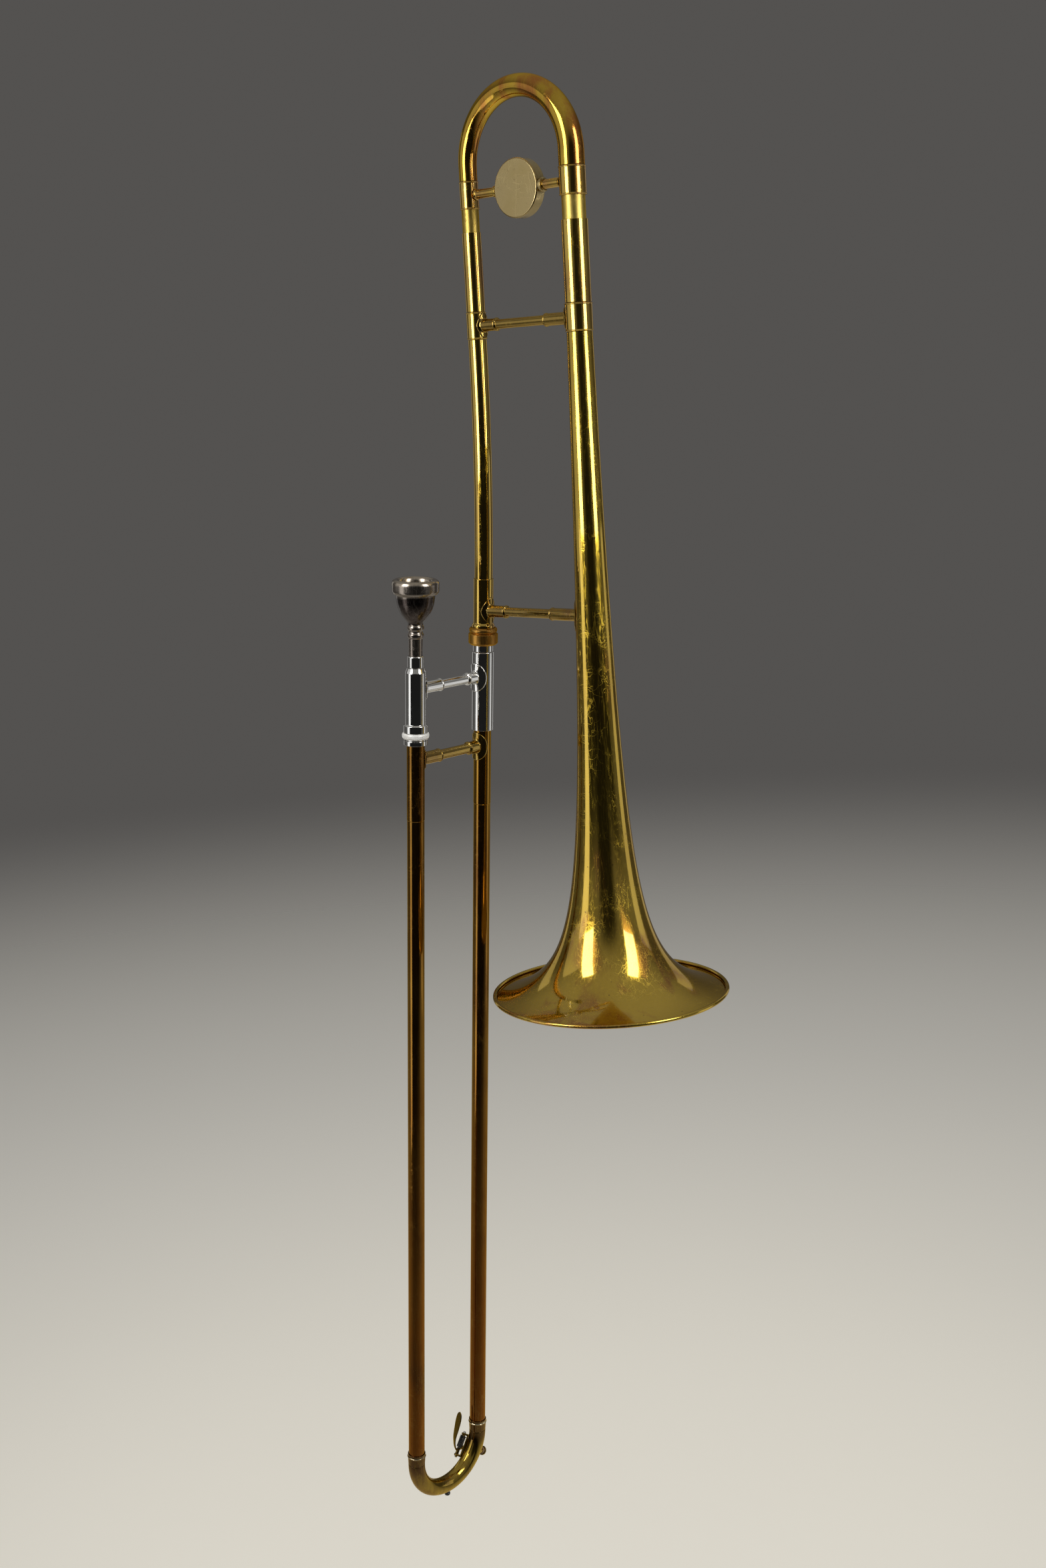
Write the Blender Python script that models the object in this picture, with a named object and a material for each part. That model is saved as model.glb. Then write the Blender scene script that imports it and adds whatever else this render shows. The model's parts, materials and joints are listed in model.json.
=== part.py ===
"""Tenor trombone, hanging from its tuning slide, bell and hand slide downwards.

Metres, +Z up. The bell section lies in the XZ plane, its bell on the +X side. The neck tube is
bent a little, so the hand slide leans away from the bell as it goes down; its mouthpiece side
points to -Y. The origin is the place under the tuning bow that the instrument hangs by. Inside
the file, levels are heights above the centre of the tuning bow.
"""
import math

import bmesh
import bpy
from mathutils import Matrix, Vector

MM = 0.001
GAP = 0.3 * MM            # space between two pieces that touch
PLATE_GAP = 0.5 * MM      # under a wrapped plate, whose facets dip between their corners
WALL = 0.5 * MM           # wall of the drawn brass tubes
SOLDER_STEP = 0.3 * MM    # a ferrule's radius above that of the tube it joins
BEAD = 1.2 * MM           # width of a ferrule's end bead
FERRULE_PROUD = 0.5 * MM  # height of that bead
ROUND = 16                # sides of the instrument's tubes

# Hand slide tubes, from the bore outwards
BORE_R = 5.5 * MM
INNER_R = BORE_R + 0.5 * MM
STOCKING_R = INNER_R + 0.2 * MM     # swollen lower end of an inner tube
SLIDE_FIT = 0.3 * MM
OUTER_BORE_R = STOCKING_R + SLIDE_FIT
OUTER_R = OUTER_BORE_R + 0.4 * MM
OUTER_SLEEVE_R = OUTER_R + 0.2 * MM
SLIDE_BOW_R = OUTER_R + 0.3 * MM

# Bell
RIM_R = 93 * MM
RIM_WIRE_R = 0.8 * MM
CURL_R = RIM_WIRE_R + GAP + WALL
CURL_START = -105         # degrees from straight out, where the wall meets the rolled edge
CURL_END = 150
CURL_STEPS = 5
BELL_SIDES = 40
BELL_STEPS = 14
FLARE_START = 14 * MM     # small for a sudden flare, large for a gradual one

# Overall plan
BOW_SPAN = 106 * MM       # neck axis to bell axis
SLIDE_SPAN = 75 * MM      # between the two hand slide tubes
SLIDE_TURN = 90           # degrees between the bell's plane and the slide's plane
SLIDE_LEAN = 5.2          # degrees that the slide leans away from the bell, so clears its rim
HANG_ANGLE = 48           # degrees up the tuning bow from its neck leg, where it hangs

# Lengths of the bell section, downwards from the tuning bow's centre
BOW_LEG = 10 * MM         # straight end of the tuning bow
TUNING_FERRULE = 20.8 * MM
TUNING_PULL = 17 * MM     # how far the tuning slide is drawn out
TUNING_SLEEVE = 59 * MM
LEG_INSERT = 51 * MM      # tuning leg inside its sleeve at rest
BRACE_FERRULE = 20.6 * MM
NECK_LENGTH = 191 * MM    # below its ferrule, along the tube to its end
NECK_STRAIGHT_TOP = 5 * MM     # of that, straight before the bend
NECK_STRAIGHT_END = 10 * MM    # and after it
NECK_STEPS = 6
BELL_LENGTH = 507.5 * MM  # from the ferrule to the rim
LOWER_BRACE_DROP = 211 * MM    # below the ferrule's lower end
RECEIVER_OVERLAP = 6 * MM      # receiver above the neck tube's end
RECEIVER_LENGTH = 42.9 * MM

# Radii of the bell section, from the tuning legs outwards
LEG_NECK_R = 6.6 * MM
LEG_BELL_R = 8.8 * MM
BOW_NECK_R = LEG_NECK_R + 0.4 * MM
BOW_BELL_R = LEG_BELL_R + 0.9 * MM
SLEEVE_NECK_R = LEG_NECK_R + GAP + 0.5 * MM
SLEEVE_BELL_R = LEG_BELL_R + GAP + 0.9 * MM
NECK_R = LEG_NECK_R + 0.2 * MM + WALL
BELL_TAIL_R = SLEEVE_BELL_R - 0.2 * MM

# Slide tenon, its receiver and the lock nut that draws them together
TENON_R = BORE_R + 1.5 * MM
TENON_LENGTH = 28 * MM
TENON_TAPER = 0.5 * MM
TENON_SHOULDER = 3.5 * MM
RECEIVER_R = max(NECK_R, TENON_R) + GAP + 0.4 * MM
RECEIVER_END_R = RECEIVER_R + 1.1 * MM
SHOULDER_R = RECEIVER_END_R - 0.1 * MM
COLLAR_R = TENON_R + 1.4 * MM
COLLAR_LENGTH = 6.5 * MM       # shows below the nut's room
NUT_ROOM = 5.2 * MM            # tenon below its shoulder that the nut covers
NUT_R = RECEIVER_END_R + GAP + 2.4 * MM
NUT_LENGTH = 14 * MM
NUT_RISE = 4 * MM              # nut above the receiver's end

# Brace rods and the counterweight
ROD_R = 4.2 * MM
SLIDE_ROD_R = 4.5 * MM
HUB_WALL = 0.7 * MM
HUB_STAND = 5.5 * MM           # socket's mouth above the tube it stands on
SLIDE_HUB_STAND = 6 * MM
ROD_INSET = 1.6 * MM           # rod's end above that tube
PLATE_THICK = 0.6 * MM
COUNTERWEIGHT_R = 21.9 * MM
COUNTERWEIGHT_THICK = 10 * MM
COUNTERWEIGHT_EDGE = 0.8 * MM
COUNTERWEIGHT_DROP = 20.4 * MM   # below the bow's centre
STUB_R = 3.6 * MM
STUB_FOOT = 1.0 * MM           # the stub's flared foot beside the disc, its extra radius
STUB_END = 0.8 * MM            # and the smaller flare at the bow

# Hand slide, downwards from the bottom of the tenon's collar
INNER_TOP = 0.5 * MM           # an inner tube's end below its barrel's top
STOCKING_LENGTH = 110 * MM
OUTER_SLEEVE_LENGTH = 62 * MM
BARREL_WALL = 0.6 * MM
BARREL_EDGE = 0.5 * MM
UPPER_BARREL_R = OUTER_SLEEVE_R + 1.2 * MM + BARREL_WALL
UPPER_BARREL_LENGTH = 64.2 * MM
UPPER_SHOULDER = 3 * MM
LOWER_BARREL_R = OUTER_SLEEVE_R + 0.5 * MM + BARREL_WALL
LOWER_BARREL_LENGTH = 44.7 * MM
LOWER_BARREL_DROP = 3.6 * MM   # its top below the upper barrel's top
LOWER_SHOULDER = 5 * MM
SHOULDER_SLOPE = 3.6 * MM
CORK_LENGTH = 12 * MM
BARREL_COLLAR_R = LOWER_BARREL_R + 1.5 * MM
BARREL_COLLAR_LENGTH = 6.5 * MM
LOCK_NECK_R = LOWER_BARREL_R + 0.4 * MM
LOCK_RING_R = LOCK_NECK_R + 2.1 * MM
LOCK_RING_LENGTH = 4.6 * MM
LOCK_RING_BULGE = 0.7 * MM
LOCK_LIP = 0.8 * MM            # lip that keeps the lock ring up, its height and depth
END_RING_R = OUTER_SLEEVE_R + 2.4 * MM
END_RING_LENGTH = 3.6 * MM
INNER_BRACE_DROP = 20.7 * MM
OUTER_BRACE_DROP = 77.8 * MM
SLIDE_LENGTH = 704.7 * MM      # from the barrels' top to the slide bow's joint
SLIDE_FERRULE = 10.5 * MM
SLIDE_STOP = 14 * MM           # inner tubes end this far above the slide bow
BUMPER_R = 2.6 * MM
BUMPER_HEIGHT = 4.2 * MM

# Water key, on the slide bow beside its neck leg
KEY_ANGLE = 30            # degrees round the bow from its neck leg
KEY_TURN = 45             # degrees round the tube from the inside of the bow to the back
KEY_BARREL_R = 1.6 * MM
KEY_BARREL_LENGTH = 17 * MM
KEY_STAND = 5.4 * MM      # pivot axis above the bow's surface
KEY_FOOT = 1.3 * MM       # saddle's underside above the crown of the bow, clear of its sides
KEY_PLATE = 0.8 * MM
KEY_POST = 1.4 * MM
KEY_POST_R = 2.1 * MM
KEY_SCREW_R = 0.7 * MM
KEY_ARM_START = -6.4      # degrees round the tube from the pivot, where the arm leaves its barrel
KEY_ARM_WIDE = 2.2 * MM
KEY_ARM_THICK = 1.2 * MM
KEY_ARM_INSET = 2.6 * MM  # arm's middle from the barrel's lower end
KEY_CORK_TURN = -135      # degrees round the tube from the pivot to the cork
KEY_TOUCH_LENGTH = 33 * MM
NIPPLE_R = 2.6 * MM
NIPPLE_HEIGHT = 3 * MM
KEY_CORK_R = 3.2 * MM
KEY_CORK_HEIGHT = 2 * MM
KEY_CUP_WALL = 0.8 * MM
SPRING_WIRE_R = 0.35 * MM
SPRING_CURLS = 7
SPRING_SPACE = 0.6 * MM        # between the spring and the upper post
SPRING_ARM_SPACE = 1.6 * MM    # between the spring and the arm

# Mouthpiece
MOUTH_RECEIVER_R = BORE_R + 1.0 * MM
MOUTH_RECEIVER_LENGTH = 9.1 * MM
MOUTH_RIM_R = 18.5 * MM
MOUTH_THROAT_R = 3.0 * MM
MOUTH_LENGTH = 84 * MM
MOUTH_SHOW = 59.6 * MM      # from its rim to the receiver
SHANK_TOP_R = BORE_R - 0.1 * MM
SHANK_END_R = BORE_R - 0.6 * MM
SHANK_WALL = 0.7 * MM

GOLD = ("lacquered_brass", (0.62, 0.42, 0.12), 1.0, 0.25)
WORN_BRASS = ("worn_brass", (0.48, 0.27, 0.09), 1.0, 0.35)
BARE_BRASS = ("bare_brass", (0.55, 0.30, 0.10), 1.0, 0.45)
NICKEL = ("nickel_silver", (0.66, 0.64, 0.60), 1.0, 0.18)
SATIN_NICKEL = ("satin_nickel", (0.50, 0.47, 0.42), 1.0, 0.42)
OLD_SILVER = ("tarnished_silver", (0.24, 0.18, 0.16), 1.0, 0.32)
STEEL = ("dark_steel", (0.12, 0.12, 0.12), 1.0, 0.40)
WHITE_RING = ("white_ring", (0.82, 0.80, 0.74), 0.0, 0.45)
CORK = ("cork", (0.42, 0.28, 0.16), 0.0, 0.85)


def clear_scene():
    for obj in list(bpy.data.objects):
        bpy.data.objects.remove(obj, do_unlink=True)


def material(look):
    name, colour, metallic, roughness = look
    if name in bpy.data.materials:
        return bpy.data.materials[name]
    mat = bpy.data.materials.new(name)
    mat.use_nodes = True
    shader = mat.node_tree.nodes["Principled BSDF"]
    shader.inputs["Base Color"].default_value = (*colour, 1.0)
    shader.inputs["Metallic"].default_value = metallic
    shader.inputs["Roughness"].default_value = roughness
    return mat


def frame(name, parent=None, location=(0, 0, 0), turn=(0, 0, 0)):
    """An empty that carries the pieces of one body, its origin on the body's joint axis."""
    empty = bpy.data.objects.new(name, None)
    bpy.context.scene.collection.objects.link(empty)
    empty.parent = parent
    empty.location = location
    empty.rotation_euler = [math.radians(a) for a in turn]
    return empty


def finish(bm, name, look, parent, location=(0, 0, 0), turn=(0, 0, 0)):
    bmesh.ops.remove_doubles(bm, verts=bm.verts, dist=1e-6)
    bmesh.ops.recalc_face_normals(bm, faces=bm.faces)
    mesh = bpy.data.meshes.new(name)
    bm.to_mesh(mesh)
    bm.free()
    mesh.shade_smooth()
    mesh.set_sharp_from_angle(angle=math.radians(35))
    mesh.materials.append(material(look))
    obj = bpy.data.objects.new(name, mesh)
    bpy.context.scene.collection.objects.link(obj)
    obj.parent = parent
    obj.location = location
    obj.rotation_euler = [math.radians(a) for a in turn]
    return obj


def lathe(name, profile, look, parent, location=(0, 0, 0), turn=(0, 0, 0), sides=ROUND):
    """Turn a closed outline of (radius, height) points about local Z."""
    bm = bmesh.new()
    verts = [bm.verts.new((r, 0, z)) for r, z in profile]
    on_axis = profile[0][0] == 0 and profile[-1][0] == 0
    count = len(verts) - 1 if on_axis else len(verts)
    edges = [bm.edges.new((verts[i], verts[(i + 1) % len(verts)])) for i in range(count)]
    bmesh.ops.spin(bm, geom=verts + edges, cent=(0, 0, 0), axis=(0, 0, 1), angle=math.tau,
                   steps=sides, use_merge=True)
    return finish(bm, name, look, parent, location, turn)


def tube(name, outer, inner, top, bottom, look, parent, location=(0, 0, 0), sides=ROUND):
    profile = [(outer, top), (outer, bottom), (inner, bottom), (inner, top)]
    return lathe(name, profile, look, parent, location, sides=sides)


def loft(name, rings, look, parent, location=(0, 0, 0), turn=(0, 0, 0), closed=True):
    """Join rings of points; closed joins the last ring to the first, else both ends are capped."""
    bm = bmesh.new()
    loops = [[bm.verts.new(p) for p in ring] for ring in rings]
    count = len(loops[0])
    pairs = list(zip(loops, loops[1:] + loops[:1] if closed else loops[1:]))
    for a, b in pairs:
        for i in range(count):
            j = (i + 1) % count
            bm.faces.new((a[i], a[j], b[j], b[i]))
    if not closed:
        bm.faces.new(loops[0])
        bm.faces.new(loops[-1])
    return finish(bm, name, look, parent, location, turn)


def ring_round(centre, across, up, radius, sides=ROUND):
    """Points on a circle spanned by two unit vectors."""
    points = []
    for i in range(sides):
        angle = math.tau * i / sides
        points.append(centre + radius * (math.cos(angle) * across + math.sin(angle) * up))
    return points


def bent_tube(name, places, look, parent, location):
    """Tube through places in the local XZ plane: a centre, a unit vector across and a radius."""
    side = Vector((0, 1, 0))
    outer = [ring_round(centre, across, side, radius) for centre, across, radius in places]
    inner = [ring_round(centre, across, side, radius - WALL) for centre, across, radius in places]
    return loft(name, outer + inner[::-1], look, parent, location)


def bow(name, span, start_r, end_r, leg, side, look, parent, location, steps=15):
    """Half-round bow with straight ends in the local XZ plane; side +1 arches up, -1 down."""
    half = span / 2
    straight = Vector((0, 0, -side * leg))
    places = []
    for i in range(steps + 1):
        share = i / steps
        angle = math.pi * (1 - share)
        out = Vector((math.cos(angle), 0, side * math.sin(angle)))
        places.append((half * out, -out, start_r + (end_r - start_r) * share))
    if leg:
        places.insert(0, (places[0][0] + straight, places[0][1], start_r))
        places.append((places[-1][0] + straight, places[-1][1], end_r))
    return bent_tube(name, places, look, parent, location)


def neck_places():
    """Centres and leans in radians down the neck tube, from its top: straight, bent, straight."""
    lean = math.radians(SLIDE_LEAN)
    arc = (NECK_LENGTH - NECK_STRAIGHT_TOP - NECK_STRAIGHT_END) / NECK_STEPS
    runs = [(NECK_STRAIGHT_TOP, 0, 0)]
    runs += [(arc, lean * (i + 0.5) / NECK_STEPS, lean * (i + 1) / NECK_STEPS) for i in range(NECK_STEPS)]
    runs += [(NECK_STRAIGHT_END, lean, lean)]
    places = [(Vector((0, 0, 0)), 0)]
    for length, on_the_way, after in runs:
        step = length * Vector((-math.sin(on_the_way), 0, -math.cos(on_the_way)))
        places.append((places[-1][0] + step, after))
    return places


def ferrule(name, radius, bore, top, length, look, parent, location, insert=0.0, insert_r=0.0):
    """Ring with a raised bead at each end; insert is the depth of a wider bore from below."""
    low = top - length
    proud = radius + FERRULE_PROUD
    profile = [(radius, top), (proud, top - BEAD / 2), (radius, top - BEAD)]
    profile += [(radius, low + BEAD), (proud, low + BEAD / 2), (radius, low)]
    if insert:
        profile += [(insert_r, low), (insert_r, low + insert), (bore, low + insert)]
    else:
        profile += [(bore, low)]
    profile += [(bore, top)]
    return lathe(name, profile, look, parent, location)


def flange(name, radius_at, plate, hub_r, hub_end, look, parent, level, facing, power=2.0, lean=0):
    """Thin plate wrapped on a tube, with a socket for a brace.

    radius_at gives the tube's radius at a height above the brace; plate is the half height
    and half width; hub_end is the distance of the socket's mouth from the tube's axis; lean is
    the angle in degrees by which the tube's upper part comes nearer.
    """
    sides = 14
    socket = hub_r - HUB_WALL

    def reach(angle):
        tall = abs(math.cos(angle)) / plate[0]
        wide = abs(math.sin(angle)) / plate[1]
        return (tall ** power + wide ** power) ** (-1 / power)

    def wrapped(share, height):
        points = []
        for i in range(sides):
            angle = math.tau * i / sides
            base = socket if share < 0 else hub_r + (reach(angle) - hub_r) * share
            along = base * math.cos(angle)
            radius = radius_at(-facing * along) + PLATE_GAP + height
            bend = base * math.sin(angle) / radius
            nearer = -facing * along * math.tan(math.radians(lean))
            points.append(Vector((along, radius * math.sin(bend), radius * math.cos(bend) + nearer)))
        return points

    def level_ring(radius):
        return ring_round(Vector((0, 0, hub_end)), Vector((1, 0, 0)), Vector((0, 1, 0)), radius, sides)

    rings = [wrapped(-1, 0), wrapped(0, 0), wrapped(0.5, 0), wrapped(1, 0)]
    rings += [wrapped(1, PLATE_THICK), wrapped(0, PLATE_THICK)]
    rings += [level_ring(hub_r), level_ring(socket)]
    return loft(name, rings, look, parent, level, (0, 90 * facing, 0))


def brace(name, start, end, radius, rings, look, parent, location, bead=0.7 * MM, slim=0.5 * MM):
    """Turned rod along local X from start to end, thicker outside its two beads."""
    near, far = rings
    wide = 1.4 * MM
    profile = [(0, start), (radius, start), (radius, near - wide), (radius + bead, near - wide / 2)]
    profile += [(radius + bead, near + wide / 2), (radius - slim, near + wide)]
    profile += [(radius - slim, far - wide), (radius + bead, far - wide / 2)]
    profile += [(radius + bead, far + wide / 2), (radius, far + wide), (radius, end), (0, end)]
    return lathe(name, profile, look, parent, location, (0, 90, 0), sides=12)


def bell_radius(distance):
    """Outer radius of the bell's wall at a distance from where the rolled edge starts.

    It falls as a power of the distance from a point beyond the mouth, and the power is the one
    that brings it to the tail's radius at the tail.
    """
    wall_end = RIM_R - CURL_R + (CURL_R - WALL) * math.cos(math.radians(CURL_START))
    power = math.log(wall_end / BELL_TAIL_R) / math.log(1 + BELL_LENGTH / FLARE_START)
    return wall_end * (FLARE_START / (FLARE_START + distance)) ** power


def levels():
    """Named heights below the tuning bow's centre, worked out from the lengths above."""
    at = {}
    at["bow_end"] = -BOW_LEG
    at["tuning_ferrule"] = at["bow_end"] - GAP
    at["tuning_ferrule_end"] = at["tuning_ferrule"] - TUNING_FERRULE
    at["sleeve"] = at["tuning_ferrule_end"] - TUNING_PULL
    at["sleeve_end"] = at["sleeve"] - TUNING_SLEEVE
    at["ferrule"] = at["sleeve_end"] - GAP
    at["ferrule_end"] = at["ferrule"] - BRACE_FERRULE
    at["upper_brace"] = at["ferrule"] - BRACE_FERRULE / 2
    at["neck"] = at["ferrule_end"] - GAP
    at["lower_brace"] = at["ferrule_end"] - LOWER_BRACE_DROP
    at["rim"] = at["neck"] - BELL_LENGTH
    return at


def slide_levels():
    """Named heights along the hand slide's axis, above the end of the neck tube."""
    on = {}
    on["receiver"] = RECEIVER_OVERLAP
    on["receiver_end"] = on["receiver"] - RECEIVER_LENGTH
    on["shoulder"] = on["receiver_end"] - GAP
    on["collar"] = on["shoulder"] - TENON_SHOULDER
    on["collar_end"] = on["collar"] - NUT_ROOM - COLLAR_LENGTH
    return on


AT = levels()
ON = slide_levels()


def tuning_slide(root):
    """Bow, ferrules, inner legs and the counterweight, all soldered together."""
    part = frame("tuning_slide_frame", root)
    bow("tuning_bow", BOW_SPAN, BOW_NECK_R, BOW_BELL_R, BOW_LEG, 1, GOLD, part, (0, 0, 0))
    sides = (("neck", -1, BOW_NECK_R, LEG_NECK_R), ("bell", 1, BOW_BELL_R, LEG_BELL_R))
    for word, sign, bow_r, leg_r in sides:
        place = (sign * BOW_SPAN / 2, 0, 0)
        insert = TUNING_FERRULE * 0.7
        ferrule(word + "_tuning_ferrule", bow_r + SOLDER_STEP, leg_r - WALL, AT["tuning_ferrule"],
                TUNING_FERRULE, GOLD, part, place, insert, leg_r + GAP)
        leg_top = AT["tuning_ferrule_end"] + insert - GAP
        tube(word + "_tuning_leg", leg_r, leg_r - WALL, leg_top, AT["sleeve"] - LEG_INSERT,
             WORN_BRASS, part, place)
    counterweight(part)
    return part


def counterweight(part):
    """Disc across the bow on two turned stubs."""
    level = -COUNTERWEIGHT_DROP
    edge = COUNTERWEIGHT_EDGE
    half = COUNTERWEIGHT_THICK / 2
    disc = [(0, half), (COUNTERWEIGHT_R - edge, half), (COUNTERWEIGHT_R, half - edge)]
    disc += [(COUNTERWEIGHT_R, edge - half), (COUNTERWEIGHT_R - edge, -half), (0, -half)]
    lathe("counterweight", disc, SATIN_NICKEL, part, (0, 0, level), (90, 0, 0), sides=40)
    near = COUNTERWEIGHT_R + GAP
    foot = STUB_R + STUB_FOOT
    for word, sign, bow_r in (("neck", -1, BOW_NECK_R), ("bell", 1, BOW_BELL_R)):
        far = BOW_SPAN / 2 - bow_r - SOLDER_STEP - FERRULE_PROUD - GAP
        profile = [(0, near), (foot, near), (foot, near + 2.5 * MM), (STUB_R, near + 3 * MM)]
        profile += [(STUB_R, far - 1.5 * MM), (STUB_R + STUB_END, far), (0, far)]
        lathe(word + "_weight_stub", profile, GOLD, part, (0, 0, level), (0, 90 * sign, 0), sides=14)


def bell_section(root):
    part = frame("bell_section_frame", root)
    neck = (-BOW_SPAN / 2, 0, 0)
    bell = (BOW_SPAN / 2, 0, 0)
    sides = (("neck", neck, SLEEVE_NECK_R, LEG_NECK_R, NECK_R),
             ("bell", bell, SLEEVE_BELL_R, LEG_BELL_R, SLEEVE_BELL_R))
    for word, place, sleeve_r, leg_r, tube_r in sides:
        tube(word + "_tuning_sleeve", sleeve_r, leg_r + GAP, AT["sleeve"], AT["sleeve_end"],
             GOLD, part, place)
        ferrule(word + "_brace_ferrule", sleeve_r + SOLDER_STEP, tube_r - WALL, AT["ferrule"],
                BRACE_FERRULE, GOLD, part, place)
    places = neck_places()
    rings = [(centre, Vector((math.cos(lean), 0, -math.sin(lean))), NECK_R) for centre, lean in places]
    neck_top = Vector((-BOW_SPAN / 2, 0, AT["neck"]))
    bent_tube("neck_tube", rings, GOLD, part, neck_top)
    neck_end = neck_top + places[-1][0]
    slide_axis = frame("slide_axis_frame", part, neck_end, (0, SLIDE_LEAN, 0))
    receiver(slide_axis)
    bell_flare(part, bell)
    bell_braces(part, neck_end)
    return slide_axis


def receiver(slide_axis):
    """Sleeve on the neck's end that takes the hand slide's tenon."""
    top = ON["receiver"]
    low = ON["receiver_end"]
    stop = -GAP
    profile = [(RECEIVER_R, top), (RECEIVER_R, low + 7.5 * MM), (RECEIVER_END_R, low + 5.5 * MM)]
    profile += [(RECEIVER_END_R, low), (TENON_R + GAP, low)]
    profile += [(TENON_R + GAP, stop), (NECK_R + GAP, stop), (NECK_R + GAP, top)]
    lathe("bell_receiver", profile, GOLD, slide_axis)


def bell_flare(part, place):
    """Bell as one spun shell, from its tail at the ferrule to the edge rolled round a wire."""
    ratio = ((FLARE_START + BELL_LENGTH) / FLARE_START) ** (1 / BELL_STEPS)
    distances = [FLARE_START * (ratio ** i - 1) for i in range(BELL_STEPS, -1, -1)]
    outer = [Vector((bell_radius(d), AT["rim"] + d)) for d in distances]
    inner = []
    for i, point in enumerate(outer[:-1]):
        along = (outer[i + 1] - outer[max(i - 1, 0)]).normalized()
        inner.append(point + WALL * Vector((along.y, -along.x)))
    centre = outer[-1] - (CURL_R - WALL) * turned(CURL_START)
    turns = [CURL_START + (CURL_END - CURL_START) * i / CURL_STEPS for i in range(CURL_STEPS + 1)]
    roll = [centre + (CURL_R - WALL) * turned(a) for a in turns]
    roll += [centre + CURL_R * turned(a) for a in reversed(turns)]
    lathe("bell", outer[:-1] + roll + inner[::-1], GOLD, part, place, sides=BELL_SIDES)
    wire = [centre + RIM_WIRE_R * turned(60 * i) for i in range(6)]
    lathe("bell_rim_wire", wire, GOLD, part, place, sides=BELL_SIDES)


def turned(angle):
    """Unit vector in the turning plane, at an angle in degrees from straight out."""
    return Vector((math.cos(math.radians(angle)), math.sin(math.radians(angle))))


def bell_braces(part, neck_end):
    """Two rods with sockets, the upper from the neck and the lower from its leaning receiver."""
    half = BOW_SPAN / 2
    receiver_x = neck_end.x + (AT["lower_brace"] - neck_end.z) * math.tan(math.radians(SLIDE_LEAN))
    hub = ROD_R + GAP + HUB_WALL
    neck_r = SLEEVE_NECK_R + SOLDER_STEP
    bell_r = SLEEVE_BELL_R + SOLDER_STEP

    def wall_at(height):
        return bell_radius(AT["lower_brace"] + height - AT["rim"])

    rows = (("upper", (-half, AT["upper_brace"]), 0, neck_r, lambda height: bell_r,
             (10 * MM, 7 * MM), (9 * MM, 9 * MM), (14 * MM, 22 * MM)),
            ("lower", (receiver_x, AT["lower_brace"]), SLIDE_LEAN, RECEIVER_R, wall_at,
             (11 * MM, 9 * MM), (15 * MM, 10 * MM), (17.5 * MM, 28 * MM)))
    for word, (left, level), lean, left_r, right_at, left_plate, right_plate, beads in rows:
        right_r = right_at(0)
        flange(word + "_brace_neck_flange", lambda height, r=left_r: r, left_plate, hub,
               left_r + HUB_STAND, GOLD, part, (left, 0, level), 1, 1.4, lean)
        flange(word + "_brace_bell_flange", right_at, right_plate, hub, right_r + HUB_STAND,
               GOLD, part, (half, 0, level), -1)
        start = left + left_r
        end = half - right_r
        brace(word + "_brace", start + ROD_INSET, end - ROD_INSET, ROD_R,
              (start + beads[0], end - beads[1]), GOLD, part, (0, 0, level))


def lock_nut(slide_axis):
    """Ring that turns on the tenon's shoulder and draws it into the receiver."""
    part = frame("lock_nut_frame", slide_axis, (0, 0, ON["shoulder"]))
    top = NUT_RISE
    low = top - NUT_LENGTH
    bore = RECEIVER_END_R + GAP
    lip_top = -TENON_SHOULDER - GAP
    edge = NUT_R - 1.6 * MM
    rim = NUT_R - 0.6 * MM
    profile = [(edge, top), (rim, top - 1.2 * MM), (rim, top - 3 * MM), (NUT_R - 1.5 * MM, top - 4.2 * MM)]
    profile += [(NUT_R, top - 5.2 * MM), (NUT_R, low + 1.6 * MM), (edge, low)]
    profile += [(COLLAR_R + GAP, low), (COLLAR_R + GAP, lip_top), (bore, lip_top), (bore, top)]
    lathe("bell_lock_nut", profile, BARE_BRASS, part, sides=28)
    return part


def inner_slide(slide_axis):
    """Tenon, cork barrels, receiver and the two inner tubes, joined by their brace."""
    part = frame("inner_slide_frame", slide_axis, (0, 0, ON["collar_end"]), (0, 0, -SLIDE_TURN))
    tenon(part)
    mouth_side = (SLIDE_SPAN, 0, 0)
    upper_top = -GAP
    lower_top = -LOWER_BARREL_DROP
    stop = -SLIDE_LENGTH + SLIDE_STOP
    upper_barrel(part, upper_top)
    lower_barrel(part, mouth_side, lower_top)
    for word, place, top in (("upper", (0, 0, 0), upper_top), ("lower", mouth_side, lower_top)):
        stocking = stop + STOCKING_LENGTH
        profile = [(INNER_R, top - INNER_TOP), (INNER_R, stocking), (STOCKING_R, stocking - 1 * MM)]
        profile += [(STOCKING_R, stop), (BORE_R, stop), (BORE_R, top - INNER_TOP)]
        lathe(word + "_inner_tube", profile, NICKEL, part, place)
    corks(part, mouth_side)
    slide_brace(part, "inner", -INNER_BRACE_DROP, UPPER_BARREL_R, LOWER_BARREL_R, ROD_R,
                (9.5 * MM, 8.5 * MM), NICKEL)
    return part


def tenon(part):
    """Nickel-silver tapered end: fits the receiver above, ends in a collar below."""
    collar_top = ON["collar"] - ON["collar_end"]
    shoulder = ON["shoulder"] - ON["collar_end"]
    top = shoulder + TENON_LENGTH
    profile = [(TENON_R - TENON_TAPER, top), (TENON_R, shoulder), (SHOULDER_R, shoulder)]
    profile += [(SHOULDER_R, collar_top), (COLLAR_R, collar_top), (COLLAR_R, 0), (BORE_R, 0), (BORE_R, top)]
    lathe("slide_tenon", profile, NICKEL, part)


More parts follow.
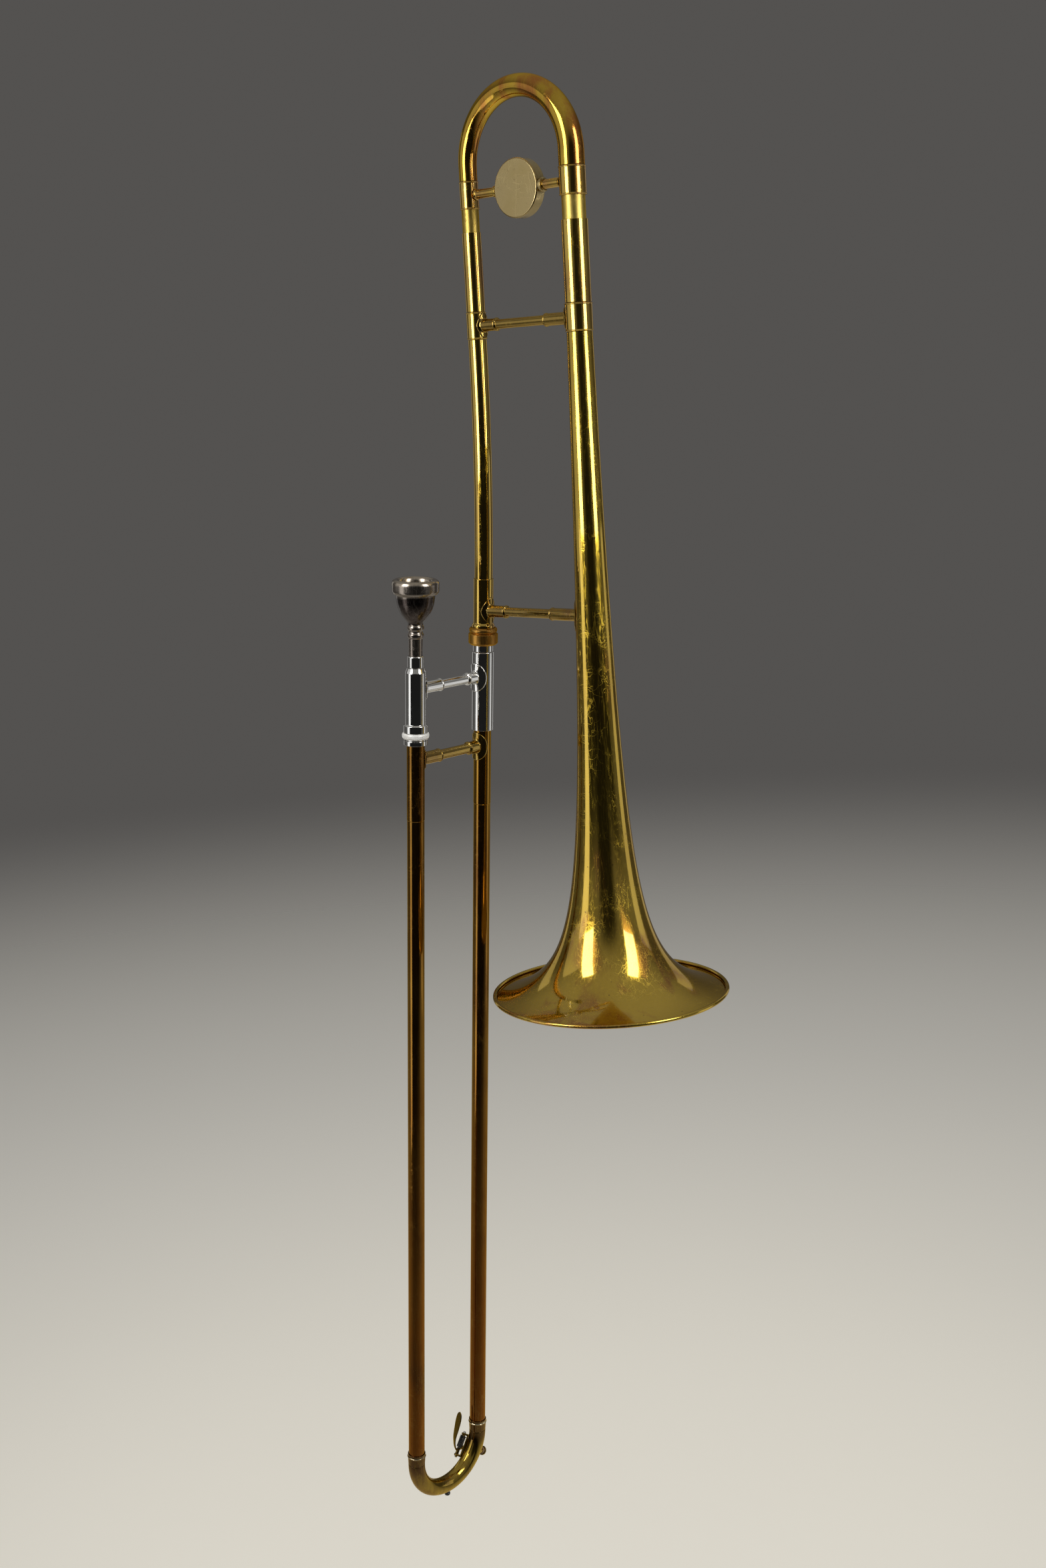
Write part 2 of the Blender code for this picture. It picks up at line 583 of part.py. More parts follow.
def upper_barrel(part, top):
    low = top - UPPER_BARREL_LENGTH
    inside = UPPER_BARREL_R - BARREL_WALL
    roof = top - UPPER_SHOULDER
    profile = [(UPPER_BARREL_R - BARREL_EDGE, top), (UPPER_BARREL_R, top - BARREL_EDGE)]
    profile += [(UPPER_BARREL_R, low), (inside, low), (inside, roof)]
    profile += [(INNER_R + GAP, roof), (INNER_R + GAP, top)]
    lathe("upper_cork_barrel", profile, NICKEL, part)


def lower_barrel(part, place, top):
    """Mouthpiece side barrel with its sloped shoulder, collar and the neck that holds the lock ring."""
    body_low = top - LOWER_BARREL_LENGTH
    inside = LOWER_BARREL_R - BARREL_WALL
    collar_low = body_low - BARREL_COLLAR_LENGTH
    lip = collar_low - LOCK_RING_LENGTH - 2 * GAP
    lip_r = LOCK_NECK_R + LOCK_LIP
    roof = top - LOWER_SHOULDER
    profile = [(MOUTH_RECEIVER_R + SOLDER_STEP, top), (LOWER_BARREL_R, top - SHOULDER_SLOPE)]
    profile += [(LOWER_BARREL_R, body_low), (BARREL_COLLAR_R, body_low - 0.8 * MM)]
    profile += [(BARREL_COLLAR_R, collar_low), (LOCK_NECK_R, collar_low), (LOCK_NECK_R, lip), (lip_r, lip)]
    profile += [(lip_r, lip - LOCK_LIP), (inside, lip - LOCK_LIP), (inside, roof)]
    profile += [(INNER_R + GAP, roof), (INNER_R + GAP, top)]
    lathe("lower_cork_barrel", profile, NICKEL, part, place)
    receiver_low = top + GAP
    receiver_top = receiver_low + MOUTH_RECEIVER_LENGTH
    edge = BARREL_EDGE
    outline = [(MOUTH_RECEIVER_R - edge, receiver_top), (MOUTH_RECEIVER_R, receiver_top - edge)]
    outline += [(MOUTH_RECEIVER_R, receiver_low), (BORE_R, receiver_low)]
    outline += [(SHANK_TOP_R + GAP, receiver_top)]
    lathe("mouthpiece_receiver", outline, NICKEL, part, place)


def corks(part, mouth_side):
    """Cork rings that stop the outer tubes inside the barrels."""
    sides = (("upper", (0, 0, 0), UPPER_BARREL_R), ("lower", mouth_side, LOWER_BARREL_R))
    for word, place, barrel_r in sides:
        outside = barrel_r - BARREL_WALL - GAP
        top = cork_top(word)
        tube(word + "_slide_cork", outside, INNER_R + GAP, top, top - CORK_LENGTH, CORK, part, place)


def cork_top(word):
    """Underside of a barrel's shoulder, where its cork sits."""
    if word == "upper":
        return -GAP - UPPER_SHOULDER - GAP
    return -LOWER_BARREL_DROP - LOWER_SHOULDER - GAP


def outer_top(word):
    """Level of an outer tube's upper end at rest, against its cork."""
    return cork_top(word) - CORK_LENGTH - GAP


def slide_brace(part, word, level, near_r, far_r, rod_r, far_plate, look):
    """Rod between the two sides, in a socket on each."""
    hub = rod_r + GAP + HUB_WALL
    near_hub = near_r + SLIDE_HUB_STAND
    far_hub = far_r + SLIDE_HUB_STAND
    flange(word + "_brace_upper_flange", lambda height: near_r, (11.5 * MM, 10.5 * MM), hub, near_hub,
           look, part, (0, 0, level), 1)
    flange(word + "_brace_lower_flange", lambda height: far_r, far_plate, hub, far_hub,
           look, part, (SLIDE_SPAN, 0, level), -1)
    start = near_r + ROD_INSET
    end = SLIDE_SPAN - far_r - ROD_INSET
    rings = (near_r + 9.4 * MM, SLIDE_SPAN - far_r - 18 * MM)
    brace(word + "_slide_brace", start, end, rod_r, rings, look, part, (0, 0, level))


def outer_slide(inner):
    """The moving U: two outer tubes, their brace and the slide bow with its fittings."""
    part = frame("outer_slide_frame", inner)
    mouth_side = (SLIDE_SPAN, 0, 0)
    for word, place in (("upper", (0, 0, 0)), ("lower", mouth_side)):
        outer_tube(part, word, place)
        bow_ferrule(part, word, place)
    end_top = lock_lip_level() - GAP
    tube("lower_end_ring", END_RING_R, OUTER_SLEEVE_R + GAP, end_top, end_top - END_RING_LENGTH,
         NICKEL, part, mouth_side)
    slide_brace(part, "outer", -OUTER_BRACE_DROP, OUTER_SLEEVE_R, OUTER_SLEEVE_R, SLIDE_ROD_R,
                (8.5 * MM, 7.5 * MM), GOLD)
    middle = (SLIDE_SPAN / 2, 0, -SLIDE_LENGTH)
    bow("slide_bow", SLIDE_SPAN, SLIDE_BOW_R, SLIDE_BOW_R, 0, -1, GOLD, part, middle, steps=13)
    bumper(part)
    return part


def lock_lip_level():
    """Underside of the lip below the lock ring on the lower barrel."""
    return -(LOWER_BARREL_DROP + LOWER_BARREL_LENGTH + BARREL_COLLAR_LENGTH + LOCK_RING_LENGTH
             + 2 * GAP + LOCK_LIP)


def outer_tube(part, word, place):
    """Drawn tube, thicker along the sleeve at its upper end."""
    top = outer_top(word)
    sleeve_low = -UPPER_BARREL_LENGTH - OUTER_SLEEVE_LENGTH
    low = -SLIDE_LENGTH + SLIDE_FERRULE / 2
    profile = [(OUTER_SLEEVE_R, top), (OUTER_SLEEVE_R, sleeve_low), (OUTER_R, sleeve_low - 0.5 * MM)]
    profile += [(OUTER_R, low), (OUTER_BORE_R, low), (OUTER_BORE_R, top)]
    lathe(word + "_outer_tube", profile, WORN_BRASS, part, place)


def bow_ferrule(part, word, place):
    """Short ferrule that takes the outer tube from above and meets the slide bow below."""
    low = -SLIDE_LENGTH + GAP
    top = low + SLIDE_FERRULE
    radius = OUTER_R + GAP + 0.4 * MM
    seat = -SLIDE_LENGTH + SLIDE_FERRULE / 2 - GAP
    profile = [(radius, top), (radius, top - 2 * MM), (radius + FERRULE_PROUD, top - 2.8 * MM)]
    profile += [(radius, top - 3.6 * MM), (SLIDE_BOW_R, low), (SLIDE_BOW_R - WALL, low)]
    profile += [(SLIDE_BOW_R - WALL, seat), (OUTER_R + GAP, seat), (OUTER_R + GAP, top)]
    lathe(word + "_bow_ferrule", profile, WORN_BRASS, part, place)


def bumper(part):
    """Foot under the middle of the slide bow."""
    top = -(SLIDE_SPAN / 2 + SLIDE_BOW_R + GAP)
    low = top - BUMPER_HEIGHT
    stem = BUMPER_R * 0.8
    profile = [(0, top), (stem, top), (stem, top - 1.2 * MM), (BUMPER_R, top - 1.6 * MM)]
    profile += [(BUMPER_R, low + 0.8 * MM), (BUMPER_R * 0.6, low), (0, low)]
    lathe("slide_bumper", profile, STEEL, part, (SLIDE_SPAN / 2, 0, -SLIDE_LENGTH), sides=12)


def key_axes():
    """Pivot place and axes in the slide's frame: Z up along the tube, X away from it."""
    angle = math.radians(KEY_ANGLE)
    out = Vector((-math.cos(angle), 0, -math.sin(angle)))
    up = Vector((-math.sin(angle), 0, math.cos(angle)))
    turn = math.radians(KEY_TURN)
    away = math.cos(turn) * -out + math.sin(turn) * Vector((0, -1, 0))
    tube_centre = Vector((SLIDE_SPAN / 2, 0, -SLIDE_LENGTH)) + out * SLIDE_SPAN / 2
    axes = Matrix((away, up.cross(away), up)).transposed()
    place = tube_centre + away * (SLIDE_BOW_R + KEY_STAND)
    return place, [math.degrees(a) for a in axes.to_euler()]


def water_key(outer):
    """Lever that turns beside the slide bow and lifts its cork off the nipple."""
    place, turn = key_axes()
    fixed = frame("water_key_mount", outer, place, turn)
    moving = frame("water_key_frame", outer, place, turn)
    key_saddle(fixed)
    key_screw(fixed)
    key_spring(fixed)
    key_lever(moving)
    centre = Vector((-(SLIDE_BOW_R + KEY_STAND), 0, 0))
    radial = (0, 90, KEY_CORK_TURN)
    surface = SLIDE_BOW_R + GAP
    nipple_top = surface + NIPPLE_HEIGHT
    bore = NIPPLE_R / 2
    nipple = [(NIPPLE_R, nipple_top), (NIPPLE_R, surface), (bore, surface), (bore, nipple_top)]
    lathe("water_key_nipple", nipple, GOLD, fixed, centre, radial, sides=12)
    cork_low = nipple_top + GAP
    cork_high = cork_low + KEY_CORK_HEIGHT
    pad = [(0, cork_high), (KEY_CORK_R, cork_high), (KEY_CORK_R, cork_low), (0, cork_low)]
    lathe("water_key_cork", pad, CORK, moving, centre, radial, sides=14)


def key_lever(part):
    """Pivot barrel, curved arm with its cork cup, and the leaf that the finger presses."""
    half = KEY_BARREL_LENGTH / 2
    lever = tube("water_key_lever", KEY_BARREL_R, KEY_SCREW_R + GAP, half, -half, GOLD, part, sides=14)
    centre = Vector((-(SLIDE_BOW_R + KEY_STAND), 0, 0))
    reach = SLIDE_BOW_R + KEY_STAND
    cup_level = SLIDE_BOW_R + GAP + NIPPLE_HEIGHT + GAP + KEY_CORK_HEIGHT + GAP
    arm_z = -half + KEY_ARM_INSET
    arm = key_arm(part, centre, reach, cup_level + 1.3 * MM, arm_z)
    cup_r = KEY_CORK_R + KEY_CUP_WALL
    cup_low = cup_level - KEY_CUP_WALL
    cup = [(0, cup_level + 1.6 * MM), (cup_r * 0.6, cup_level + 1.5 * MM), (cup_r, cup_level + 0.8 * MM)]
    cup += [(cup_r, cup_low), (KEY_CORK_R + GAP, cup_low), (KEY_CORK_R + GAP, cup_level), (0, cup_level)]
    holder = lathe("key_cup_shape", cup, GOLD, part, centre, (0, 90, KEY_CORK_TURN), sides=14)
    unite(lever, [arm, holder, key_touch(part, arm_z)])


def key_arm(part, centre, start_reach, end_reach, arm_z):
    """Strip that curves round the bow's tube from the pivot barrel to the top of the cork cup."""
    steps = 9
    risen = 0.75          # share of the way by which it has reached its height over the cup
    rings = []
    for i in range(steps + 1):
        share = i / steps
        angle = math.radians(KEY_ARM_START + (KEY_CORK_TURN - KEY_ARM_START) * share)
        out = Vector((math.cos(angle), math.sin(angle), 0))
        middle = start_reach + (end_reach - start_reach) * min(1, share / risen)
        low = centre + out * (middle - KEY_ARM_THICK / 2)
        high = centre + out * (middle + KEY_ARM_THICK / 2)
        lift = Vector((0, 0, arm_z * (1 - share)))
        edge = Vector((0, 0, KEY_ARM_WIDE + (KEY_CORK_R - KEY_ARM_WIDE) * share))
        rings.append([low - edge + lift, low + edge + lift, high + edge + lift, high - edge + lift])
    return loft("key_arm_shape", rings, GOLD, part, closed=False)


def key_touch(part, arm_z):
    """Leaf rising beside the pivot, narrow at the foot, widest past its middle, rounded off above.

    Each row of shape holds a share of the leaf's length, its half width, half thickness and
    distance outwards there, the last three in millimetres.
    """
    rings = []
    foot = Vector((KEY_BARREL_R + GAP, 0, arm_z))
    angle = math.radians(KEY_ANGLE)
    rise = Vector((math.sin(angle) * math.cos(math.radians(KEY_TURN)),
                   math.sin(angle) * math.sin(math.radians(KEY_TURN)), math.cos(angle)))
    shape = ((0.0, 1.3, 0.8, 0.0), (0.12, 1.4, 0.7, 2.4), (0.3, 1.9, 0.6, 3.2), (0.55, 3.2, 0.6, 2.6),
             (0.8, 3.8, 0.55, 2.2), (0.94, 2.8, 0.5, 2.8), (1.0, 1.2, 0.4, 3.6))
    across = Vector((0, 1, 0))
    for share, half_wide, half_thick, outward in shape:
        middle = foot + rise * (KEY_TOUCH_LENGTH * share) + Vector((outward * MM, 0, 0))
        side = across * (half_wide * MM)
        thick = Vector((half_thick * MM, 0, 0))
        inset = side * 0.6
        rings.append([middle - side, middle - inset + thick, middle + inset + thick,
                      middle + side, middle + inset - thick, middle - inset - thick])
    return loft("key_touch_shape", rings, GOLD, part, closed=False)


def key_saddle(part):
    """Foot soldered along the bow with a bored post at each end of the pivot."""
    low = -KEY_STAND + KEY_FOOT
    high = low + KEY_PLATE
    half = KEY_BARREL_LENGTH / 2 + GAP + KEY_POST
    wide = KEY_POST_R - 0.3 * MM
    corners = [(low, -wide), (high, -wide), (high, wide), (low, wide)]
    rings = [[Vector((x, y, z)) for x, y in corners] for z in (-half, half)]
    saddle = loft("water_key_saddle", rings, GOLD, part, closed=False)
    posts = []
    for word, sign in (("low", -1), ("high", 1)):
        inside = sign * (half - KEY_POST)
        posts.append(post("key_post_" + word, part, inside, sign * half, low + KEY_PLATE / 2))
    unite(saddle, posts)


def post(name, part, inside, outside, low):
    """Plate with a round head about the pivot's hole and a straight stem down to the foot."""
    wide = KEY_POST_R - 0.6 * MM
    sides = 16
    stem_start = -0.5         # cosine of the angle past which the outline follows the stem

    def outline(radius_at, z):
        points = []
        for i in range(sides):
            angle = math.tau * i / sides
            radius = radius_at(angle)
            points.append(Vector((radius * math.cos(angle), radius * math.sin(angle), z)))
        return points

    def edge(angle):
        if math.cos(angle) > stem_start:
            return KEY_POST_R
        down = low / math.cos(angle)
        across = wide / max(abs(math.sin(angle)), 1e-6)
        return max(KEY_POST_R, min(down, across))

    def hole(angle):
        return KEY_SCREW_R + GAP

    rings = [outline(edge, inside), outline(edge, outside), outline(hole, outside), outline(hole, inside)]
    return loft(name, rings, GOLD, part)


def key_screw(part):
    reach = KEY_BARREL_LENGTH / 2 + KEY_POST + 2 * GAP
    head = 1.5 * MM
    profile = [(0, reach + head), (head * 0.7, reach + head * 0.8), (head, reach)]
    profile += [(KEY_SCREW_R, reach), (KEY_SCREW_R, -reach), (head, -reach)]
    profile += [(head * 0.7, -reach - head * 0.8), (0, -reach - head)]
    lathe("water_key_screw", profile, NICKEL, part, sides=10)


def key_spring(part):
    """Unbroken coil round the pivot barrel, clear of the arm at its lower end."""
    radius = KEY_BARREL_R + SPRING_WIRE_R + 0.4 * MM
    top = KEY_BARREL_LENGTH / 2 - SPRING_SPACE
    length = KEY_BARREL_LENGTH - SPRING_SPACE - KEY_ARM_INSET - KEY_ARM_WIDE - SPRING_ARM_SPACE
    per_curl = 9
    count = SPRING_CURLS * per_curl
    points = []
    for i in range(count + 1):
        angle = math.tau * i / per_curl
        z = top - length * i / count
        points.append((radius * math.cos(angle), radius * math.sin(angle), z))
    print("spring gap mm", round((length / SPRING_CURLS - 2 * SPRING_WIRE_R) / MM, 3))
    curve = bpy.data.curves.new("water_key_spring", "CURVE")
    curve.dimensions = "3D"
    curve.bevel_depth = SPRING_WIRE_R
    curve.bevel_resolution = 1
    curve.use_fill_caps = True
    spline = curve.splines.new("POLY")
    spline.points.add(len(points) - 1)
    for point, place in zip(spline.points, points):
        point.co = (*place, 1.0)
    curve.materials.append(material(STEEL))
    obj = bpy.data.objects.new("water_key_spring", curve)
    bpy.context.scene.collection.objects.link(obj)
    obj.parent = part


def unite(obj, shapes):
    """Union other shapes into an object; they stay as hidden guides."""
    for shape in shapes:
        shape.hide_render = True
        shape.display_type = "WIRE"
        join = obj.modifiers.new(shape.name, "BOOLEAN")
        join.operation = "UNION"
        join.object = shape


def lock_ring(inner):
    """Ring under the lower barrel's collar that turns to lock the slide."""
    part = frame("slide_lock_frame", inner, (SLIDE_SPAN, 0, 0))
    top = -(LOWER_BARREL_DROP + LOWER_BARREL_LENGTH + BARREL_COLLAR_LENGTH + GAP)
    low = top - LOCK_RING_LENGTH
    slope = 1.3 * MM
    inside = LOCK_NECK_R + GAP
    edge = LOCK_RING_R - LOCK_RING_BULGE
    profile = [(edge, top), (LOCK_RING_R, top - slope), (LOCK_RING_R, low + slope)]
    profile += [(edge, low), (inside, low), (inside, top)]
    lathe("slide_lock_ring", profile, WHITE_RING, part)


def mouthpiece(inner):
    """Cup mouthpiece, its shank seated in the receiver; outline points are in millimetres."""
    receiver_top = -LOWER_BARREL_DROP + GAP + MOUTH_RECEIVER_LENGTH
    part = frame("mouthpiece_frame", inner, (SLIDE_SPAN, 0, receiver_top + MOUTH_SHOW))
    rim = MOUTH_RIM_R / MM
    shank = SHANK_TOP_R / MM
    outside = ((rim - 2.6, 0.0), (rim - 0.7, -1.0), (rim, -3.0), (rim, -8.6), (rim - 0.9, -10.8),
               (rim - 3.0, -11.8), (rim - 3.4, -14.5), (rim - 4.2, -19.5), (rim - 6.2, -25.0),
               (rim - 9.4, -30.0), (rim - 12.2, -33.4), (shank + 0.4, -35.0), (shank + 1.1, -36.4),
               (shank + 1.1, -38.6), (shank + 0.3, -39.8), (shank + 0.3, -41.2), (shank + 1.0, -42.4),
               (shank + 0.8, -44.6), (shank + 0.2, -46.0))
    inside = ((rim - 4.0, 0.0), (rim - 5.4, -1.2), (rim - 6.1, -3.2), (rim - 6.5, -7.0), (rim - 7.3, -13.0),
              (rim - 9.1, -18.5), (rim - 12.0, -23.5), (4.3, -27.0))
    profile = [(r * MM, z * MM) for r, z in outside]
    profile += [(SHANK_TOP_R, -MOUTH_SHOW), (SHANK_END_R, -MOUTH_LENGTH)]
    profile += [(SHANK_END_R - SHANK_WALL, -MOUTH_LENGTH)]
    profile += [(MOUTH_THROAT_R, -36 * MM), (MOUTH_THROAT_R, -30 * MM)]
    profile += [(r * MM, z * MM) for r, z in reversed(inside)]
    lathe("mouthpiece", profile, OLD_SILVER, part, sides=26)


def main():
    clear_scene()
    inside = BOW_SPAN / 2 - (BOW_NECK_R + (BOW_BELL_R - BOW_NECK_R) * HANG_ANGLE / 180)
    angle = math.radians(HANG_ANGLE)
    root = frame("trombone", None, (inside * math.cos(angle), 0, -inside * math.sin(angle)))
    tuning_slide(root)
    slide_axis = bell_section(root)
    lock_nut(slide_axis)
    inner = inner_slide(slide_axis)
    lock_ring(inner)
    mouthpiece(inner)
    water_key(outer_slide(inner))


main()
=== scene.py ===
"""Looks of the tenor trombone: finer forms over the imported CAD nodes, materials, light and camera."""
import json
import math

import bpy
from mathutils import Matrix, Vector

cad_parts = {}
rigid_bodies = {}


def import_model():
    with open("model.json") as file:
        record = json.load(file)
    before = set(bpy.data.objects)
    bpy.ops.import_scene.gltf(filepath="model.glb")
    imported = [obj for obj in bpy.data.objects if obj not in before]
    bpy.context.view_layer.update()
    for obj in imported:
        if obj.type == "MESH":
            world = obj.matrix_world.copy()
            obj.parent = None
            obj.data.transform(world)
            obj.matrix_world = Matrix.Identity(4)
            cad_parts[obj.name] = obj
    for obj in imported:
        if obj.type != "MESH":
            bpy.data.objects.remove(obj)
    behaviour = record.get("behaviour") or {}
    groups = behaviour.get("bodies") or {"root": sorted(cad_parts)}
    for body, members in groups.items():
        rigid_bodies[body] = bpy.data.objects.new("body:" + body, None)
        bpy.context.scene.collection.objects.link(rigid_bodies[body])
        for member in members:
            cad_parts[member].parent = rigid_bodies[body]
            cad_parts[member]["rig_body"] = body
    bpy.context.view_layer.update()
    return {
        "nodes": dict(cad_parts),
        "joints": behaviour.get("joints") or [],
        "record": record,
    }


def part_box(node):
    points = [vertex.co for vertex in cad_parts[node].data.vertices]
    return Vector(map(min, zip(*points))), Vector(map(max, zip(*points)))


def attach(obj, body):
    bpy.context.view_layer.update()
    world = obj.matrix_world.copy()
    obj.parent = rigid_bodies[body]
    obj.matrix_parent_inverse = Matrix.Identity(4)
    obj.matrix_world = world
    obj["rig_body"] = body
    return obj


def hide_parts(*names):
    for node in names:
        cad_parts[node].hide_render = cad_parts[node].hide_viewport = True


MM = 0.001
GAP = 0.3 * MM
WALL = 0.5 * MM

# Sizes repeated from the CAD source, in metres
SLIDE_SPAN = 75 * MM
BOW_SPAN = 106 * MM
BOW_LEG = 10 * MM
BOW_NECK_R = 7.0 * MM
BOW_BELL_R = 9.7 * MM
SLEEVE_NECK_R = 7.4 * MM
SLEEVE_BELL_R = 10.0 * MM
NECK_R = 7.3 * MM
NECK_LENGTH = 191 * MM
NECK_STRAIGHT_TOP = 5 * MM
NECK_STRAIGHT_END = 10 * MM
SLIDE_BOW_R = 7.2 * MM
RECEIVER_R = 7.7 * MM
RIM_R = 93 * MM
RIM_WIRE_R = 0.8 * MM
CURL_R = RIM_WIRE_R + GAP + WALL
CURL_START = -105
CURL_END = 150
FLARE_START = 14 * MM
BELL_TAIL_R = 9.8 * MM
BELL_LENGTH = 507.5 * MM
OUTER_SLEEVE_R = 7.1 * MM
UPPER_BARREL_R = 8.9 * MM
LOWER_BARREL_R = 8.2 * MM
ROD_R = 4.2 * MM
SLIDE_ROD_R = 4.5 * MM
HUB_WALL = 0.7 * MM
PLATE_GAP = 0.5 * MM
PLATE_THICK = 0.6 * MM

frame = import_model()
nodes = frame["nodes"]
joints = {joint["name"]: joint for joint in frame["joints"]}


# ---------------------------------------------------------------- places and axes
def joint_line(name):
    joint = joints[name]
    return Vector(joint["pos_m"]), Vector(joint["axis"]).normalized()


slide_top, slide_up = joint_line("slide_swivel")
lean = math.asin(slide_up.x)
bell_x = sum(corner.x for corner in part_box("bell")) / 2
neck_x = bell_x - BOW_SPAN
bow_centre = Vector(((bell_x + neck_x) / 2, 0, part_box("tuning_bow")[0].z + BOW_LEG))
BELL_FRAME = Matrix.Translation(bow_centre)
SLIDE_FRAME = (Matrix.Translation(slide_top) @ Matrix.Rotation(lean, 4, "Y")
               @ Matrix.Rotation(math.radians(-90), 4, "Z"))
MOUTH_FRAME = SLIDE_FRAME @ Matrix.Translation((SLIDE_SPAN, 0, 0))
NECK_AXIS = Matrix.Translation((neck_x, 0, bow_centre.z))
BELL_AXIS = Matrix.Translation((bell_x, 0, bow_centre.z))


def facing_frame(place, toward, up):
    """Matrix with local Z along toward and local X near up."""
    z = toward.normalized()
    y = z.cross(up).normalized()
    x = y.cross(z)
    matrix = Matrix((x, y, z)).transposed().to_4x4()
    matrix.translation = place
    return matrix


# ---------------------------------------------------------------- node trees
def shader_tree(name):
    mat = bpy.data.materials.new(name)
    mat.use_nodes = True
    return mat, mat.node_tree


def put(tree, kind, inputs=(), **settings):
    node = tree.nodes.new(kind)
    for key, value in settings.items():
        setattr(node, key, value)
    for key, value in dict(inputs).items():
        socket = node.inputs[key]
        if isinstance(value, bpy.types.NodeSocket):
            tree.links.new(value, socket)
        else:
            socket.default_value = value
    return node


def place_of(tree, scale=(1, 1, 1), turn=(0, 0, 0)):
    """Object coordinates in metres, stretched and turned."""
    coords = put(tree, "ShaderNodeTexCoord").outputs["Object"]
    return put(tree, "ShaderNodeMapping", {"Vector": coords, "Scale": scale, "Rotation": turn}).outputs[0]


def noise(tree, vector, scale, detail=4.0, rough=0.55, twist=0.0):
    node = put(tree, "ShaderNodeTexNoise", {"Vector": vector, "Scale": scale, "Detail": detail,
                                            "Roughness": rough, "Distortion": twist})
    return node.outputs["Fac"]


def ramp(tree, factor, low, high, start=0.0, end=1.0):
    """Maps a factor from low..high onto start..end, held at both ends."""
    node = put(tree, "ShaderNodeMapRange", {"Value": factor, "From Min": low, "From Max": high,
                                            "To Min": start, "To Max": end}, clamp=True)
    node.interpolation_type = "SMOOTHSTEP"
    return node.outputs["Result"]


def calc(tree, operation, a, b=0.0, clamp=False):
    node = put(tree, "ShaderNodeMath", {0: a, 1: b}, operation=operation, use_clamp=clamp)
    return node.outputs[0]


def blend(tree, factor, a, b):
    node = put(tree, "ShaderNodeMix", data_type="RGBA")
    for socket, value in ((node.inputs["Factor"], factor), (node.inputs["A"], a), (node.inputs["B"], b)):
        same = [s for s in node.inputs if s.name == socket.name and s.enabled]
        socket = same[0]
        if isinstance(value, bpy.types.NodeSocket):
            tree.links.new(value, socket)
        elif isinstance(value, (int, float)):
            socket.default_value = value
        else:
            socket.default_value = (*value, 1.0)
    return [s for s in node.outputs if s.enabled][0]


def scratches(tree, scale, stretch, turn, width=0.04):
    """Thin lines: 1 on a line, 0 off it."""
    vector = place_of(tree, stretch, turn)
    wavy = noise(tree, vector, scale, 2.0, 0.5, 0.3)
    off = calc(tree, "ABSOLUTE", calc(tree, "SUBTRACT", wavy, 0.5))
    return ramp(tree, off, 0.0, width, 1.0, 0.0)


def bump(tree, heights, start=None):
    """Chain of bumps; each is a factor, its depth in metres."""
    normal = start
    for height, depth in heights:
        inputs = {"Height": height, "Distance": depth, "Strength": 1.0}
        if normal is not None:
            inputs["Normal"] = normal
        normal = put(tree, "ShaderNodeBump", inputs).outputs[0]
    return normal


def set_shader(tree, inputs):
    shader = tree.nodes["Principled BSDF"]
    for key, value in inputs.items():
        socket = shader.inputs[key]
        if isinstance(value, bpy.types.NodeSocket):
            tree.links.new(value, socket)
        else:
            socket.default_value = value


